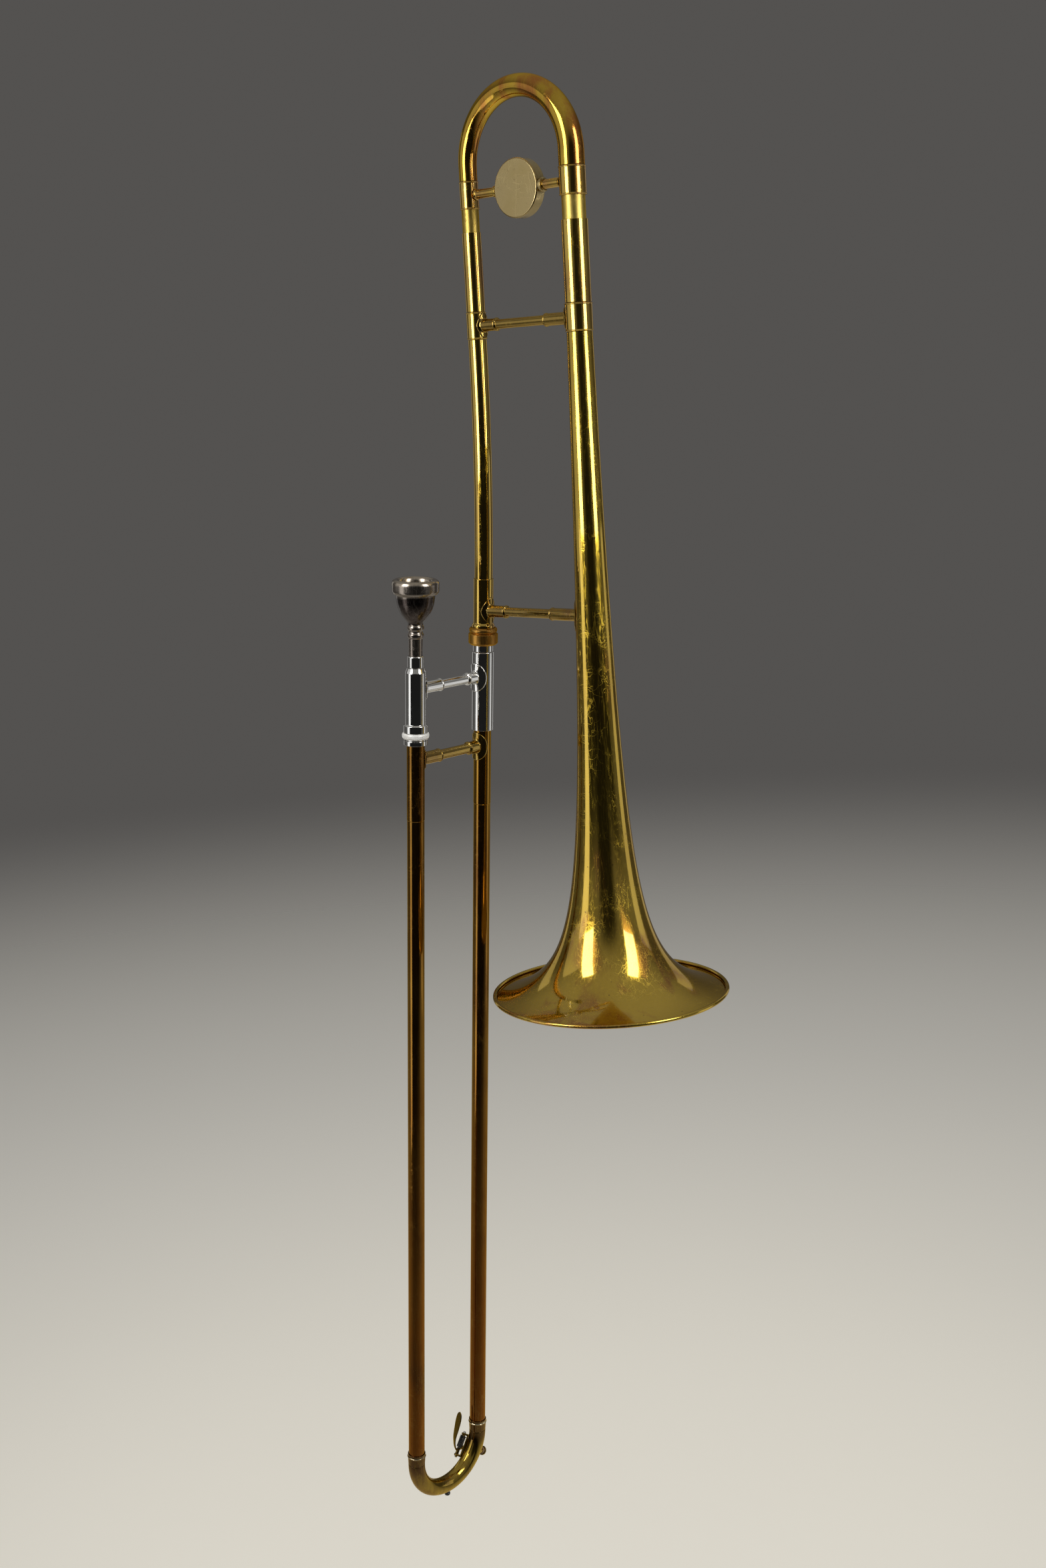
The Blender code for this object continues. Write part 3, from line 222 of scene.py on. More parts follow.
def metal(name, clean, deep, stain, stain_share, rough, scratch=0.5, spots=0.5, coat=0.0, grade=None,
          tint=(1, 1, 1), zones=(), wear=0.0):
    """Old metal: two shades of its own colour, stained patches, small dark spots and fine scratches.

    clean, deep and stain are colours; stain_share is how much of the surface is stained; rough is the
    roughness of clean and of stained metal; grade blends to another colour along the tube by height:
    (height where it starts, where it is full, colour). zones are bands of another colour:
    (low, high, soft edge, colour). wear widens the scratched and pitted areas.
    """
    mat, tree = shader_tree(name)
    plain = place_of(tree)
    drawn = place_of(tree, (1, 1, 0.12))
    broad = noise(tree, plain, 14, 3.0, 0.5)
    cloud = noise(tree, drawn, 60, 3.0, 0.5, 0.4)
    colour = blend(tree, ramp(tree, broad, 0.35, 0.68), clean, deep)
    patch = ramp(tree, calc(tree, "ADD", calc(tree, "MULTIPLY", broad, 0.45), calc(tree, "MULTIPLY", cloud, 0.55)),
                 0.62 - 0.24 * stain_share, 0.72 - 0.16 * stain_share)
    height = put(tree, "ShaderNodeSeparateXYZ", {0: plain}).outputs[2]
    for low, high, soft, tone in zones:
        inside = calc(tree, "MULTIPLY", ramp(tree, height, low - soft, low + soft),
                      ramp(tree, height, high - soft, high + soft, 1.0, 0.0))
        colour = blend(tree, inside, colour, tone)
    # grade: blend towards another colour by height, with a wavy edge
    if grade:
        wobble = calc(tree, "MULTIPLY", calc(tree, "SUBTRACT", cloud, 0.5), 0.25)
        run = ramp(tree, calc(tree, "ADD", height, wobble), grade[0], grade[1])
        colour = blend(tree, run, colour, grade[2])
    colour = blend(tree, calc(tree, "MULTIPLY", patch, 0.85), colour, stain)
    speckle = ramp(tree, noise(tree, plain, 900, 3.0, 0.7), 0.66, 0.74)
    fly = ramp(tree, noise(tree, plain, 260, 2.0, 0.6), 0.70, 0.76)
    dots = calc(tree, "MULTIPLY", calc(tree, "MAXIMUM", speckle, fly), spots, True)
    colour = blend(tree, dots, colour, tuple(0.35 * c for c in stain))
    long_lines = scratches(tree, 420, (1, 1, 0.05), (0.05, 0.09, 0))
    slant_lines = scratches(tree, 210, (0.12, 1, 0.6), (0.5, 0.3, 0.9), 0.022)
    cross_lines = scratches(tree, 180, (1, 0.5, 0.1), (-0.6, 0.4, 0.2), 0.022)
    area = ramp(tree, noise(tree, plain, 35, 3.0, 0.6), 0.46 - wear, 0.62 - wear)
    pits = ramp(tree, calc(tree, "ADD", noise(tree, plain, 1100, 2.0, 0.6),
                           calc(tree, "MULTIPLY", calc(tree, "SUBTRACT", cloud, 0.5), 0.25)), 0.62, 0.72)
    pits = calc(tree, "MULTIPLY", calc(tree, "MULTIPLY", pits, area), spots)
    lines = calc(tree, "MULTIPLY", calc(tree, "MAXIMUM", slant_lines, cross_lines), area)
    lines = calc(tree, "MAXIMUM", lines, calc(tree, "MULTIPLY", long_lines, 0.5))
    lines = calc(tree, "MULTIPLY", lines, scratch, True)
    pale = tuple(min(1.0, c * 1.25 + 0.03) for c in clean)
    colour = blend(tree, calc(tree, "MULTIPLY", calc(tree, "MAXIMUM", lines, pits), 0.6), colour, pale)
    roughness = calc(tree, "ADD", ramp(tree, patch, 0.0, 1.0, rough[0], rough[1]),
                     calc(tree, "MULTIPLY", calc(tree, "SUBTRACT", cloud, 0.5), 0.10))
    worn = calc(tree, "MAXIMUM", lines, pits)
    roughness = calc(tree, "ADD", roughness, calc(tree, "MULTIPLY", worn, 0.34), True)
    ripple = noise(tree, plain, 30, 2.0, 0.5)
    fine = noise(tree, plain, 1400, 2.0, 0.6)
    normal = bump(tree, ((ripple, 0.00003), (fine, 0.000002), (calc(tree, "SUBTRACT", 1.0, lines), 0.000004)))
    set_shader(tree, {"Base Color": colour, "Metallic": 1.0, "Roughness": roughness, "Normal": normal,
                      "Coat Weight": coat, "Coat Roughness": 0.04, "Coat IOR": 1.75,
                      "Specular Tint": (*tint, 1.0)})
    return mat


def brushed(name, clean, deep, rough, turn=(0, 0, 0)):
    """Satin metal with a fine grain, handling marks and deeper scratches."""
    mat, tree = shader_tree(name)
    plain = place_of(tree)
    broad = noise(tree, plain, 40, 4.0, 0.6)
    grain = noise(tree, place_of(tree, (1, 1, 0.04), turn), 1500, 2.0, 0.5)
    colour = blend(tree, ramp(tree, broad, 0.35, 0.7), clean, deep)
    one = scratches(tree, 90, (1, 1, 0.35), (0, 0.7, 0), 0.012)
    two = scratches(tree, 120, (0.4, 1, 1), (0, -0.5, 0), 0.012)
    three = scratches(tree, 70, (0.5, 1, 0.2), (0, 1.3, 0), 0.012)
    lines = calc(tree, "MAXIMUM", calc(tree, "MAXIMUM", one, two), three)
    lines = calc(tree, "MULTIPLY", lines, ramp(tree, noise(tree, plain, 60, 2.0, 0.5), 0.42, 0.6))
    colour = blend(tree, calc(tree, "MULTIPLY", lines, 0.7), colour, tuple(min(1.0, c * 1.5) for c in clean))
    spots = ramp(tree, noise(tree, plain, 300, 3.0, 0.6), 0.66, 0.76)
    colour = blend(tree, calc(tree, "MULTIPLY", spots, 0.5), colour, tuple(0.4 * c for c in deep))
    roughness = calc(tree, "ADD", rough, calc(tree, "MULTIPLY", calc(tree, "SUBTRACT", broad, 0.5), 0.25))
    roughness = calc(tree, "SUBTRACT", roughness, calc(tree, "MULTIPLY", lines, 0.12), True)
    normal = bump(tree, ((grain, 0.0000015), (calc(tree, "SUBTRACT", 1.0, lines), 0.000008)))
    set_shader(tree, {"Base Color": colour, "Metallic": 1.0, "Roughness": roughness, "Normal": normal})
    return mat


def cork_look(name):
    mat, tree = shader_tree(name)
    plain = place_of(tree)
    cells = put(tree, "ShaderNodeTexVoronoi", {"Vector": plain, "Scale": 900.0}).outputs["Distance"]
    pores = ramp(tree, noise(tree, plain, 500, 4.0, 0.7), 0.60, 0.68)
    colour = blend(tree, ramp(tree, noise(tree, plain, 160, 5.0, 0.6), 0.35, 0.65),
                   (0.50, 0.33, 0.18), (0.34, 0.20, 0.10))
    colour = blend(tree, pores, colour, (0.12, 0.06, 0.03))
    set_shader(tree, {"Base Color": colour, "Roughness": ramp(tree, cells, 0, 0.6, 0.75, 0.95),
                      "Normal": bump(tree, ((cells, 0.0001), (pores, 0.0001)))})
    return mat


def ring_look(name):
    """Worn off-white ring with dirt in its low places."""
    mat, tree = shader_tree(name)
    plain = place_of(tree)
    colour = blend(tree, ramp(tree, noise(tree, plain, 120, 5.0, 0.6), 0.4, 0.7),
                   (0.88, 0.87, 0.84), (0.72, 0.69, 0.63))
    grime = ramp(tree, noise(tree, plain, 420, 4.0, 0.7), 0.60, 0.72)
    colour = blend(tree, calc(tree, "MULTIPLY", grime, 0.6), colour, (0.25, 0.21, 0.16))
    rough = ramp(tree, noise(tree, plain, 200, 3.0, 0.5), 0.3, 0.7, 0.25, 0.5)
    set_shader(tree, {"Base Color": colour, "Metallic": 0.1, "Roughness": rough,
                      "Normal": bump(tree, ((noise(tree, plain, 700, 3.0, 0.6), 0.00003),))})
    return mat


GOLDEN = (0.95, 0.75, 0.35)
# Height of the bow ferrules' beads, where bow_brass paints a pale band as a painted highlight
BEAD_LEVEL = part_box("upper_bow_ferrule")[1].z - 3.5 * MM
LOOKS = {
    "lacquered_brass": metal("lacquer_look", (0.62, 0.405, 0.036), (0.52, 0.32, 0.024), (0.34, 0.12, 0.02),
                             0.46, (0.07, 0.19), 0.45, 0.35, 0.85, tint=GOLDEN),
    "top_brass": metal("top_look", (0.60, 0.39, 0.034), (0.50, 0.30, 0.024), (0.40, 0.12, 0.025),
                       0.60, (0.06, 0.12), 0.45, 0.35, 0.25, tint=GOLDEN),
    "bell_brass": metal("bell_look", (0.60, 0.40, 0.036), (0.50, 0.315, 0.024), (0.34, 0.13, 0.02),
                        0.40, (0.09, 0.22), 0.7, 0.75, 0.55, tint=GOLDEN, wear=0.02),
    # worn_brass turns darker and redder from height -0.60 down to -1.05 m
    "worn_brass": metal("worn_look", (0.38, 0.20, 0.025), (0.27, 0.125, 0.015), (0.15, 0.055, 0.008),
                        0.45, (0.08, 0.20), 0.5, 0.4, 0.15, (-0.60, -1.05, (0.270, 0.085, 0.004)), GOLDEN),
    # bow_brass: its first zone darkens the metal between heights -1.118 and -1.0 m; its second zone is a painted
    # highlight, a pale band round the ferrule beads that draws a bright line
    "bow_brass": metal("bow_look", (0.46, 0.31, 0.035), (0.36, 0.225, 0.022), (0.12, 0.05, 0.008),
                       0.60, (0.08, 0.24), 0.5, 0.5, 0.3, tint=GOLDEN,
                       zones=((-1.118, -1.0, 0.007, (0.15, 0.072, 0.010)),
                              (BEAD_LEVEL - 0.0006, BEAD_LEVEL + 0.0006, 0.0003, (0.80, 0.69, 0.44)))),
    # A darker copy of the lacquered brass for the brace rods and their flanges: its darker colours are painted shade
    "shaded_brace_brass": metal("shaded_brace_look", (0.37, 0.235, 0.03), (0.28, 0.165, 0.02), (0.18, 0.08, 0.015),
                         0.40, (0.10, 0.24), 0.5, 0.5, 0.5, tint=GOLDEN),
    "leg_brass": metal("leg_look", (0.52, 0.38, 0.095), (0.44, 0.30, 0.065), (0.30, 0.19, 0.045),
                       0.25, (0.34, 0.46), 0.4, 0.4, tint=GOLDEN),
    "bare_brass": metal("nut_look", (0.52, 0.29, 0.07), (0.44, 0.22, 0.045), (0.20, 0.08, 0.02),
                        0.40, (0.30, 0.44), 0.5, 0.5, tint=GOLDEN),
    "key_brass": metal("key_look", (0.24, 0.155, 0.03), (0.16, 0.10, 0.02), (0.08, 0.045, 0.012),
                       0.50, (0.22, 0.38), 0.5, 0.5, tint=GOLDEN),
    "nickel_silver": metal("nickel_look", (0.80, 0.79, 0.77), (0.73, 0.72, 0.70), (0.46, 0.43, 0.39),
                           0.05, (0.03, 0.12), 0.35, 0.25),
    "satin_nickel": brushed("satin_look", (0.447, 0.344, 0.164), (0.373, 0.283, 0.124), 0.30),
    "tarnished_silver": metal("silver_look", (0.30, 0.26, 0.22), (0.26, 0.22, 0.19), (0.20, 0.16, 0.14),
                              0.15, (0.20, 0.28), 0.35, 0.15,
                              zones=((-0.3745, -0.3530, 0.0012, (0.062, 0.048, 0.043)),
                                     (-0.3430, -0.33, 0.0008, (0.42, 0.36, 0.29)))),
    "dark_steel": brushed("steel_look", (0.10, 0.10, 0.10), (0.06, 0.06, 0.06), 0.34),
    "white_ring": ring_look("ring_look"),
    "cork": cork_look("cork_look"),
}
slot_of = {part["node"]: part["material_slot"] for part in frame["record"]["subparts"]}


# ---------------------------------------------------------------- mesh helpers
def make_object(name, verts, faces, node_names, slot, smooth=50, look=None, body=None):
    """New piece that stands for CAD nodes, rides on their body and has their slot's look."""
    mesh = bpy.data.meshes.new(name)
    mesh.from_pydata([tuple(v) for v in verts], [], faces)
    mesh.update()
    mesh.validate()
    mesh.shade_smooth()
    mesh.set_sharp_from_angle(angle=math.radians(smooth))
    obj = bpy.data.objects.new(name, mesh)
    bpy.context.scene.collection.objects.link(obj)
    mesh.materials.append(LOOKS[look or slot])
    obj.modifiers.new("weights", "WEIGHTED_NORMAL").keep_sharp = True
    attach(obj, body or nodes[node_names[0]]["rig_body"])
    if node_names:
        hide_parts(*node_names)
    return obj


def grid_faces(rows, sides, base=0, closed=False):
    """Quads between rings of vertices that follow each other from a base index."""
    faces = []
    for i in range(rows if closed else rows - 1):
        a = base + i * sides
        b = base + (i + 1) % rows * sides
        for k in range(sides):
            n = (k + 1) % sides
            faces.append((a + k, a + n, b + n, b + k))
    return faces


def spin(profile, matrix, sides, closed):
    """Vertices and faces of an outline of (radius, height) turned about the matrix's Z axis."""
    verts = []
    starts = []
    for r, h in profile:
        starts.append((len(verts), r < 1e-7))
        if r < 1e-7:
            verts.append(matrix @ Vector((0, 0, h)))
            continue
        for k in range(sides):
            angle = math.tau * k / sides
            verts.append(matrix @ Vector((r * math.cos(angle), r * math.sin(angle), h)))
    faces = []
    count = len(profile)
    for i in range(count if closed else count - 1):
        (a, a_point), (b, b_point) = starts[i], starts[(i + 1) % count]
        for k in range(sides):
            n = (k + 1) % sides
            if a_point and b_point:
                continue
            if a_point:
                faces.append((a, b + n, b + k))
            elif b_point:
                faces.append((a + k, a + n, b))
            else:
                faces.append((a + k, a + n, b + n, b + k))
    return verts, faces


def outward(verts, faces, profile, matrix):
    """Turns the faces over if they look inwards."""
    area = 0.0
    for i, (r, h) in enumerate(profile):
        r2, h2 = profile[(i + 1) % len(profile)]
        area += r * h2 - r2 * h
    return faces if area > 0 else [tuple(reversed(f)) for f in faces]


def cad_outline(node, matrix, sides):
    """Outline of a turned CAD node, read from a cut through the middle of its flats."""
    mesh = nodes[node].data
    local = matrix.inverted()
    points = [local @ v.co for v in mesh.vertices]
    key = {}
    weld = []
    for p in points:
        spot = tuple(round(c * 2e5) for c in p)
        weld.append(key.setdefault(spot, len(key)))
    widest = max(points, key=lambda p: p.xy.length)
    angle = math.atan2(widest.y, widest.x) + math.pi / sides
    along = Vector((math.cos(angle), math.sin(angle), 0))
    across = Vector((-math.sin(angle), math.cos(angle), 0))
    mesh.calc_loop_triangles()
    links = {}
    spots = {}
    for tri in mesh.loop_triangles:
        cuts = []
        for i in range(3):
            a, b = tri.vertices[i], tri.vertices[(i + 1) % 3]
            da, db = points[a].dot(across), points[b].dot(across)
            if (da > 0) != (db > 0):
                p = points[a].lerp(points[b], da / (da - db))
                edge = tuple(sorted((weld[a], weld[b])))
                cuts.append((edge, p.dot(along), p.z))
        if len(cuts) != 2 or max(cuts[0][1], cuts[1][1]) <= 0:
            continue
        (e1, r1, h1), (e2, r2, h2) = cuts
        if r1 < 0:
            e1, h1, r1 = ("axis", e2), h2 + (h1 - h2) * r2 / (r2 - r1), 0.0
        if r2 < 0:
            e2, h2, r2 = ("axis", e1), h1 + (h2 - h1) * r1 / (r1 - r2), 0.0
        spots[e1], spots[e2] = (r1, h1), (r2, h2)
        links.setdefault(e1, []).append(e2)
        links.setdefault(e2, []).append(e1)
    ends = [e for e in links if len(links[e]) == 1]
    start = ends[0] if ends else next(iter(links))
    chain = [start]
    while True:
        following = [e for e in links[chain[-1]] if len(chain) < 2 or e != chain[-2]]
        if not following or following[0] == start or len(chain) > len(links):
            break
        chain.append(following[0])
    grow = 1 / math.cos(math.pi / sides)
    outline = [(spots[e][0] * grow, spots[e][1]) for e in chain]
    return simplify(outline, not ends), not ends


def simplify(points, closed):
    """Drops points that lie on the line between their neighbours."""
    kept = list(points)
    changed = True
    while changed:
        changed = False
        for i in range(len(kept)):
            if not closed and i in (0, len(kept) - 1):
                continue
            a, p, b = Vector(kept[i - 1]), Vector(kept[i]), Vector(kept[(i + 1) % len(kept)])
            run = b - a
            if (p - a).length < 4e-6:
                off = 0
            elif run.length < 1e-9:
                off = 1
            else:
                off = abs((p - a).cross(run)) / run.length
            if off < 4e-6:
                kept.pop(i)
                changed = True
                break
    return kept


def soften(points, closed, size=0.25 * MM, corner=38, parts=3):
    """Rounds the corners of an outline and smooths the runs of short, gently turning edges."""
    count = len(points)
    pts = [Vector(p) for p in points]
    out = []

    def turn_at(i):
        a, p, b = pts[i - 1], pts[i], pts[(i + 1) % count]
        if (p - a).length < 1e-9 or (b - p).length < 1e-9:
            return 0.0
        return math.degrees((p - a).angle(b - p))

    def is_smooth(i):
        if not closed and i in (0, count - 1):
            return False
        near, far = (pts[i] - pts[i - 1]).length, (pts[(i + 1) % count] - pts[i]).length
        return turn_at(i) < corner and max(near, far) < 4.5 * min(near, far)

    for i in range(count):
        end = not closed and i in (0, count - 1)
        a, p, b = pts[i - 1], pts[i], pts[(i + 1) % count]
        if end or p.x < 1e-7:
            out.append(p)
        elif is_smooth(i):
            out.append(p)
        elif turn_at(i) < 12:
            out.append(p)
        else:
            cut = min(size, 0.35 * (p - a).length, 0.35 * (b - p).length)
            first, last = p + (a - p).normalized() * cut, p + (b - p).normalized() * cut
            for k in range(parts + 1):
                t = k / parts
                out.append((1 - t) ** 2 * first + 2 * t * (1 - t) * p + t * t * last)
        nxt = (i + 1) % count
        if (closed or i < count - 1) and (is_smooth(i) or is_smooth(nxt)):
            q = pts[nxt]
            length = (q - p).length
            start_dir = (q - a).normalized() if is_smooth(i) else (q - p).normalized()
            end_dir = (pts[(nxt + 1) % count] - p).normalized() if is_smooth(nxt) else (q - p).normalized()
            for k in range(1, 4):
                t = k / 4
                h1, h2 = 2 * t ** 3 - 3 * t * t + 1, t ** 3 - 2 * t * t + t
                h3, h4 = -2 * t ** 3 + 3 * t * t, t ** 3 - t * t
                out.append(h1 * p + h2 * length * start_dir + h3 * q + h4 * length * end_dir)
    widest = max(p.x for p in pts)
    low, high = min(p.y for p in pts), max(p.y for p in pts)
    return [(min(widest, max(0.0, p.x)), min(high, max(low, p.y))) for p in out]


def turned(node, matrix, cad_sides=16, sides=64, size=0.25 * MM, look=None, slim=1.0):
    """Finer turned piece in place of a CAD node."""
    outline, closed = cad_outline(node, matrix, cad_sides)
    outline = [(r * slim, h) for r, h in soften(outline, closed, size)]
    verts, faces = spin(outline, matrix, sides, closed)
    faces = outward(verts, faces, outline, matrix)
    return make_object(node + "_form", verts, faces, [node], slot_of[node], look=look)


def sweep(node, places, sides=48, wall=WALL, look=None):
    """Tube through places of (centre, unit vector across it in its plane, radius), with edges broken."""
    side = places[0][1].cross((places[1][0] - places[0][0]).normalized()).normalized()
    verts = []
    edge = 0.15 * MM
    rings = []
    for i, (centre, across, radius) in enumerate(places):
        if i in (0, len(places) - 1):
            other = places[1] if i == 0 else places[-2]
            inwards = (other[0] - centre).normalized() * edge
            pair = [(centre, across, radius - edge), (centre + inwards, across, radius)]
            rings += pair if i == 0 else pair[::-1]
        else:
            rings.append((centre, across, radius))
    back = [(c, a, r - wall) for c, a, r in reversed(places)]
    for centre, across, radius in rings + back:
        for k in range(sides):
            angle = math.tau * k / sides
            verts.append(centre + radius * (math.cos(angle) * across + math.sin(angle) * side))
    faces = grid_faces(len(rings) + len(back), sides, closed=True)
    obj = make_object(node + "_form", verts, faces, [node], slot_of[node], look=look)
    fix_normals(obj)
    return obj


def fix_normals(obj):
    import bmesh
    bm = bmesh.new()
    bm.from_mesh(obj.data)
    bmesh.ops.recalc_face_normals(bm, faces=bm.faces)
    bm.to_mesh(obj.data)
    bm.free()


# ---------------------------------------------------------------- tubes and bows
def bow_places(span, start_r, end_r, leg, side, matrix, steps):
    """Centres down a half-round bow in the matrix's XZ plane, with straight ends."""
    half = span / 2
    height = math.cos(math.pi / 30)
    places = []
    for i in range(steps + 1):
        share = i / steps
        angle = math.pi * (1 - share)
        out = Vector((math.cos(angle), 0, side * math.sin(angle) * height))
        places.append((half * out, -out.normalized(), start_r + (end_r - start_r) * share))
    if leg:
        straight = Vector((0, 0, -side * leg))
        places.insert(0, (places[0][0] + straight, places[0][1], start_r))
        places.append((places[-1][0] + straight, places[-1][1], end_r))
    turn = matrix.to_3x3()
    return [(matrix @ c, turn @ a, r) for c, a, r in places]


def neck_run():
    """Centres down the bent neck tube."""
    steps = 24
    top = Vector((neck_x, 0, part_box("neck_tube")[1].z))
    arc = NECK_LENGTH - NECK_STRAIGHT_TOP - NECK_STRAIGHT_END
    places = [(top, 0.0), (top - Vector((0, 0, NECK_STRAIGHT_TOP)), 0.0)]
    for i in range(steps):
        middle = lean * (i + 0.5) / steps
        step = arc / steps * Vector((-math.sin(middle), 0, -math.cos(middle)))
        places.append((places[-1][0] + step, lean * (i + 1) / steps))
    places.append((places[-1][0] + NECK_STRAIGHT_END * Vector((-math.sin(lean), 0, -math.cos(lean))), lean))
    return [(c, Vector((math.cos(a), 0, -math.sin(a))), NECK_R) for c, a in places]


sweep("tuning_bow", bow_places(BOW_SPAN, BOW_NECK_R, BOW_BELL_R, BOW_LEG, 1, BELL_FRAME, 64), 64, look="top_brass")
bow_low = SLIDE_FRAME @ Matrix.Translation((SLIDE_SPAN / 2, 0, 0))
low_end = -704.7 * MM
sweep("slide_bow", bow_places(SLIDE_SPAN, SLIDE_BOW_R, SLIDE_BOW_R, 0, -1,
                              bow_low @ Matrix.Translation((0, 0, low_end)), 56), 56, look="bow_brass")
sweep("neck_tube", neck_run(), 56)

for part in ("tuning_ferrule", "tuning_leg", "tuning_sleeve", "brace_ferrule"):
    look = "leg_brass" if part == "tuning_leg" else None
    turned("neck_" + part, NECK_AXIS, look=look)
    turned("bell_" + part, BELL_AXIS, look=look)
turned("bell_receiver", SLIDE_FRAME)
turned("bell_lock_nut", SLIDE_FRAME, 28, 72)
turned("slide_tenon", SLIDE_FRAME)
for part in ("cork_barrel", "inner_tube", "slide_cork", "outer_tube", "bow_ferrule"):
    look = "bow_brass" if part == "bow_ferrule" else None
    turned("upper_" + part, SLIDE_FRAME, look=look)
    turned("lower_" + part, MOUTH_FRAME, look=look)
turned("mouthpiece_receiver", MOUTH_FRAME)
turned("lower_end_ring", MOUTH_FRAME)
turned("slide_lock_ring", MOUTH_FRAME)
turned("mouthpiece", MOUTH_FRAME, 26, 96, 0.35 * MM)
turned("slide_bumper", bow_low, 12, 40, 0.5 * MM, slim=0.985)

weight = (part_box("counterweight")[0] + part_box("counterweight")[1]) / 2
turned("counterweight", facing_frame(weight, Vector((0, -1, 0)), Vector((0, 0, 1))), 40, 112, 0.4 * MM)
for side, toward in (("neck", -1), ("bell", 1)):
    turned(side + "_weight_stub", facing_frame(weight, Vector((toward, 0, 0)), Vector((0, 0, 1))), 14, 48)


# ---------------------------------------------------------------- bell
def unit(angle):
    return Vector((math.cos(math.radians(angle)), math.sin(math.radians(angle))))


def bell():
    """Spun shell from its tail to the edge rolled round a wire."""
    rim_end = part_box("neck_tube")[1].z - BELL_LENGTH
    wall_end = RIM_R - CURL_R + (CURL_R - WALL) * math.cos(math.radians(CURL_START))
    power = math.log(wall_end / BELL_TAIL_R) / math.log(1 + BELL_LENGTH / FLARE_START)
    steps = 72
    ratio = ((FLARE_START + BELL_LENGTH) / FLARE_START) ** (1 / steps)
    outer = []
    for i in range(steps, -1, -1):
        distance = FLARE_START * (ratio ** i - 1)
        radius = wall_end * (FLARE_START / (FLARE_START + distance)) ** power
        outer.append(Vector((radius, rim_end + distance)))
    inner = []
    for i, point in enumerate(outer[:-1]):
        along = (outer[i + 1] - outer[max(i - 1, 0)]).normalized()
        inner.append(point + WALL * Vector((along.y, -along.x)))
    centre = outer[-1] - (CURL_R - WALL) * unit(CURL_START)
    turns = [CURL_START + (CURL_END - CURL_START) * i / 20 for i in range(21)]
    roll = [centre + (CURL_R - WALL) * unit(a) for a in turns]
    roll += [centre + CURL_R * unit(a) for a in reversed(turns)]
    profile = [(p.x, p.y) for p in outer[:-1] + roll + inner[::-1]]
    matrix = Matrix.Translation((bell_x, 0, 0))
    verts, faces = spin(profile, matrix, 160, True)
    obj = make_object("bell_form", verts, faces, ["bell"], slot_of["bell"], 60, look="bell_brass")
    fix_normals(obj)
    wire = [centre + RIM_WIRE_R * unit(22.5 * i) for i in range(16)]
    verts, faces = spin([(p.x, p.y) for p in wire], matrix, 160, True)
    fix_normals(make_object("bell_rim_wire_form", verts, faces, ["bell_rim_wire"], slot_of["bell_rim_wire"]))


bell()


# ---------------------------------------------------------------- braces
def flange(node, matrix, radius_at, plate, rod_r, stand, power=2.0, tilt=0.0):
    """Plate wrapped on a tube with a socket for a brace, a soft fillet between them.

    The matrix's Z points from the tube's axis to the other side and its X runs along the tube;
    radius_at gives the tube's radius at a distance along X.
    """
    sides = 72
    hub = rod_r + GAP + 0.25 * MM
    socket = rod_r + GAP
    hub_end = radius_at(0.0) + stand

    def reach(angle):
        tall = abs(math.cos(angle)) / plate[0]
        wide = abs(math.sin(angle)) / plate[1]
        return (tall ** power + wide ** power) ** (-1 / power)

    def wrapped(base_at, lift):
        ring = []
        for k in range(sides):
            angle = math.tau * k / sides
            base = base_at(angle)
            along = base * math.cos(angle)
            radius = radius_at(along) + PLATE_GAP + lift
            bend = base * math.sin(angle) / radius
            ring.append(Vector((along, radius * math.sin(bend), radius * math.cos(bend) - along * tilt)))
        return ring

    def level(radius, height):
        return [Vector((radius * math.cos(math.tau * k / sides), radius * math.sin(math.tau * k / sides), height))
                for k in range(sides)]

    def share(s):
        return lambda angle: hub + (reach(angle) - hub) * s

    def wide(extra):
        return lambda angle: hub + extra

    fillet = 1.1 * MM
    rings = [wrapped(lambda angle: socket, 0), wrapped(wide(0), 0), wrapped(share(0.5), 0), wrapped(share(1), 0)]
    rings += [wrapped(share(1), PLATE_THICK * 0.5), wrapped(share(0.96), PLATE_THICK * 0.9),
              wrapped(share(0.90), PLATE_THICK), wrapped(share(0.6), PLATE_THICK)]
    rings += [wrapped(wide(fillet), PLATE_THICK), wrapped(wide(fillet * 0.45), PLATE_THICK + fillet * 0.2),
              wrapped(wide(fillet * 0.12), PLATE_THICK + fillet * 0.6), wrapped(wide(0), PLATE_THICK + fillet)]
    lip = hub + 0.35 * MM
    rings += [level(hub, hub_end - 0.95 * MM), level(lip - 0.1 * MM, hub_end - 0.85 * MM),
              level(lip, hub_end - 0.7 * MM), level(lip, hub_end - 0.2 * MM),
              level(lip - 0.12 * MM, hub_end), level(socket, hub_end)]
    verts = [matrix @ p for ring in rings for p in ring]
    # Flanges on lacquered brass take the darker brace copy, whose darkness is painted shade
    look = "shaded_brace_brass" if slot_of[node] == "lacquered_brass" else None
    obj = make_object(node + "_form", verts, grid_faces(len(rings), sides, closed=True), [node], slot_of[node],
                      look=look)
    fix_normals(obj)


def bell_radius(z):
    """Outer radius of the bell's wall at a world height."""
    rim_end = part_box("neck_tube")[1].z - BELL_LENGTH
    wall_end = RIM_R - CURL_R + (CURL_R - WALL) * math.cos(math.radians(CURL_START))
    power = math.log(wall_end / BELL_TAIL_R) / math.log(1 + BELL_LENGTH / FLARE_START)
    return wall_end * (FLARE_START / (FLARE_START + z - rim_end)) ** power


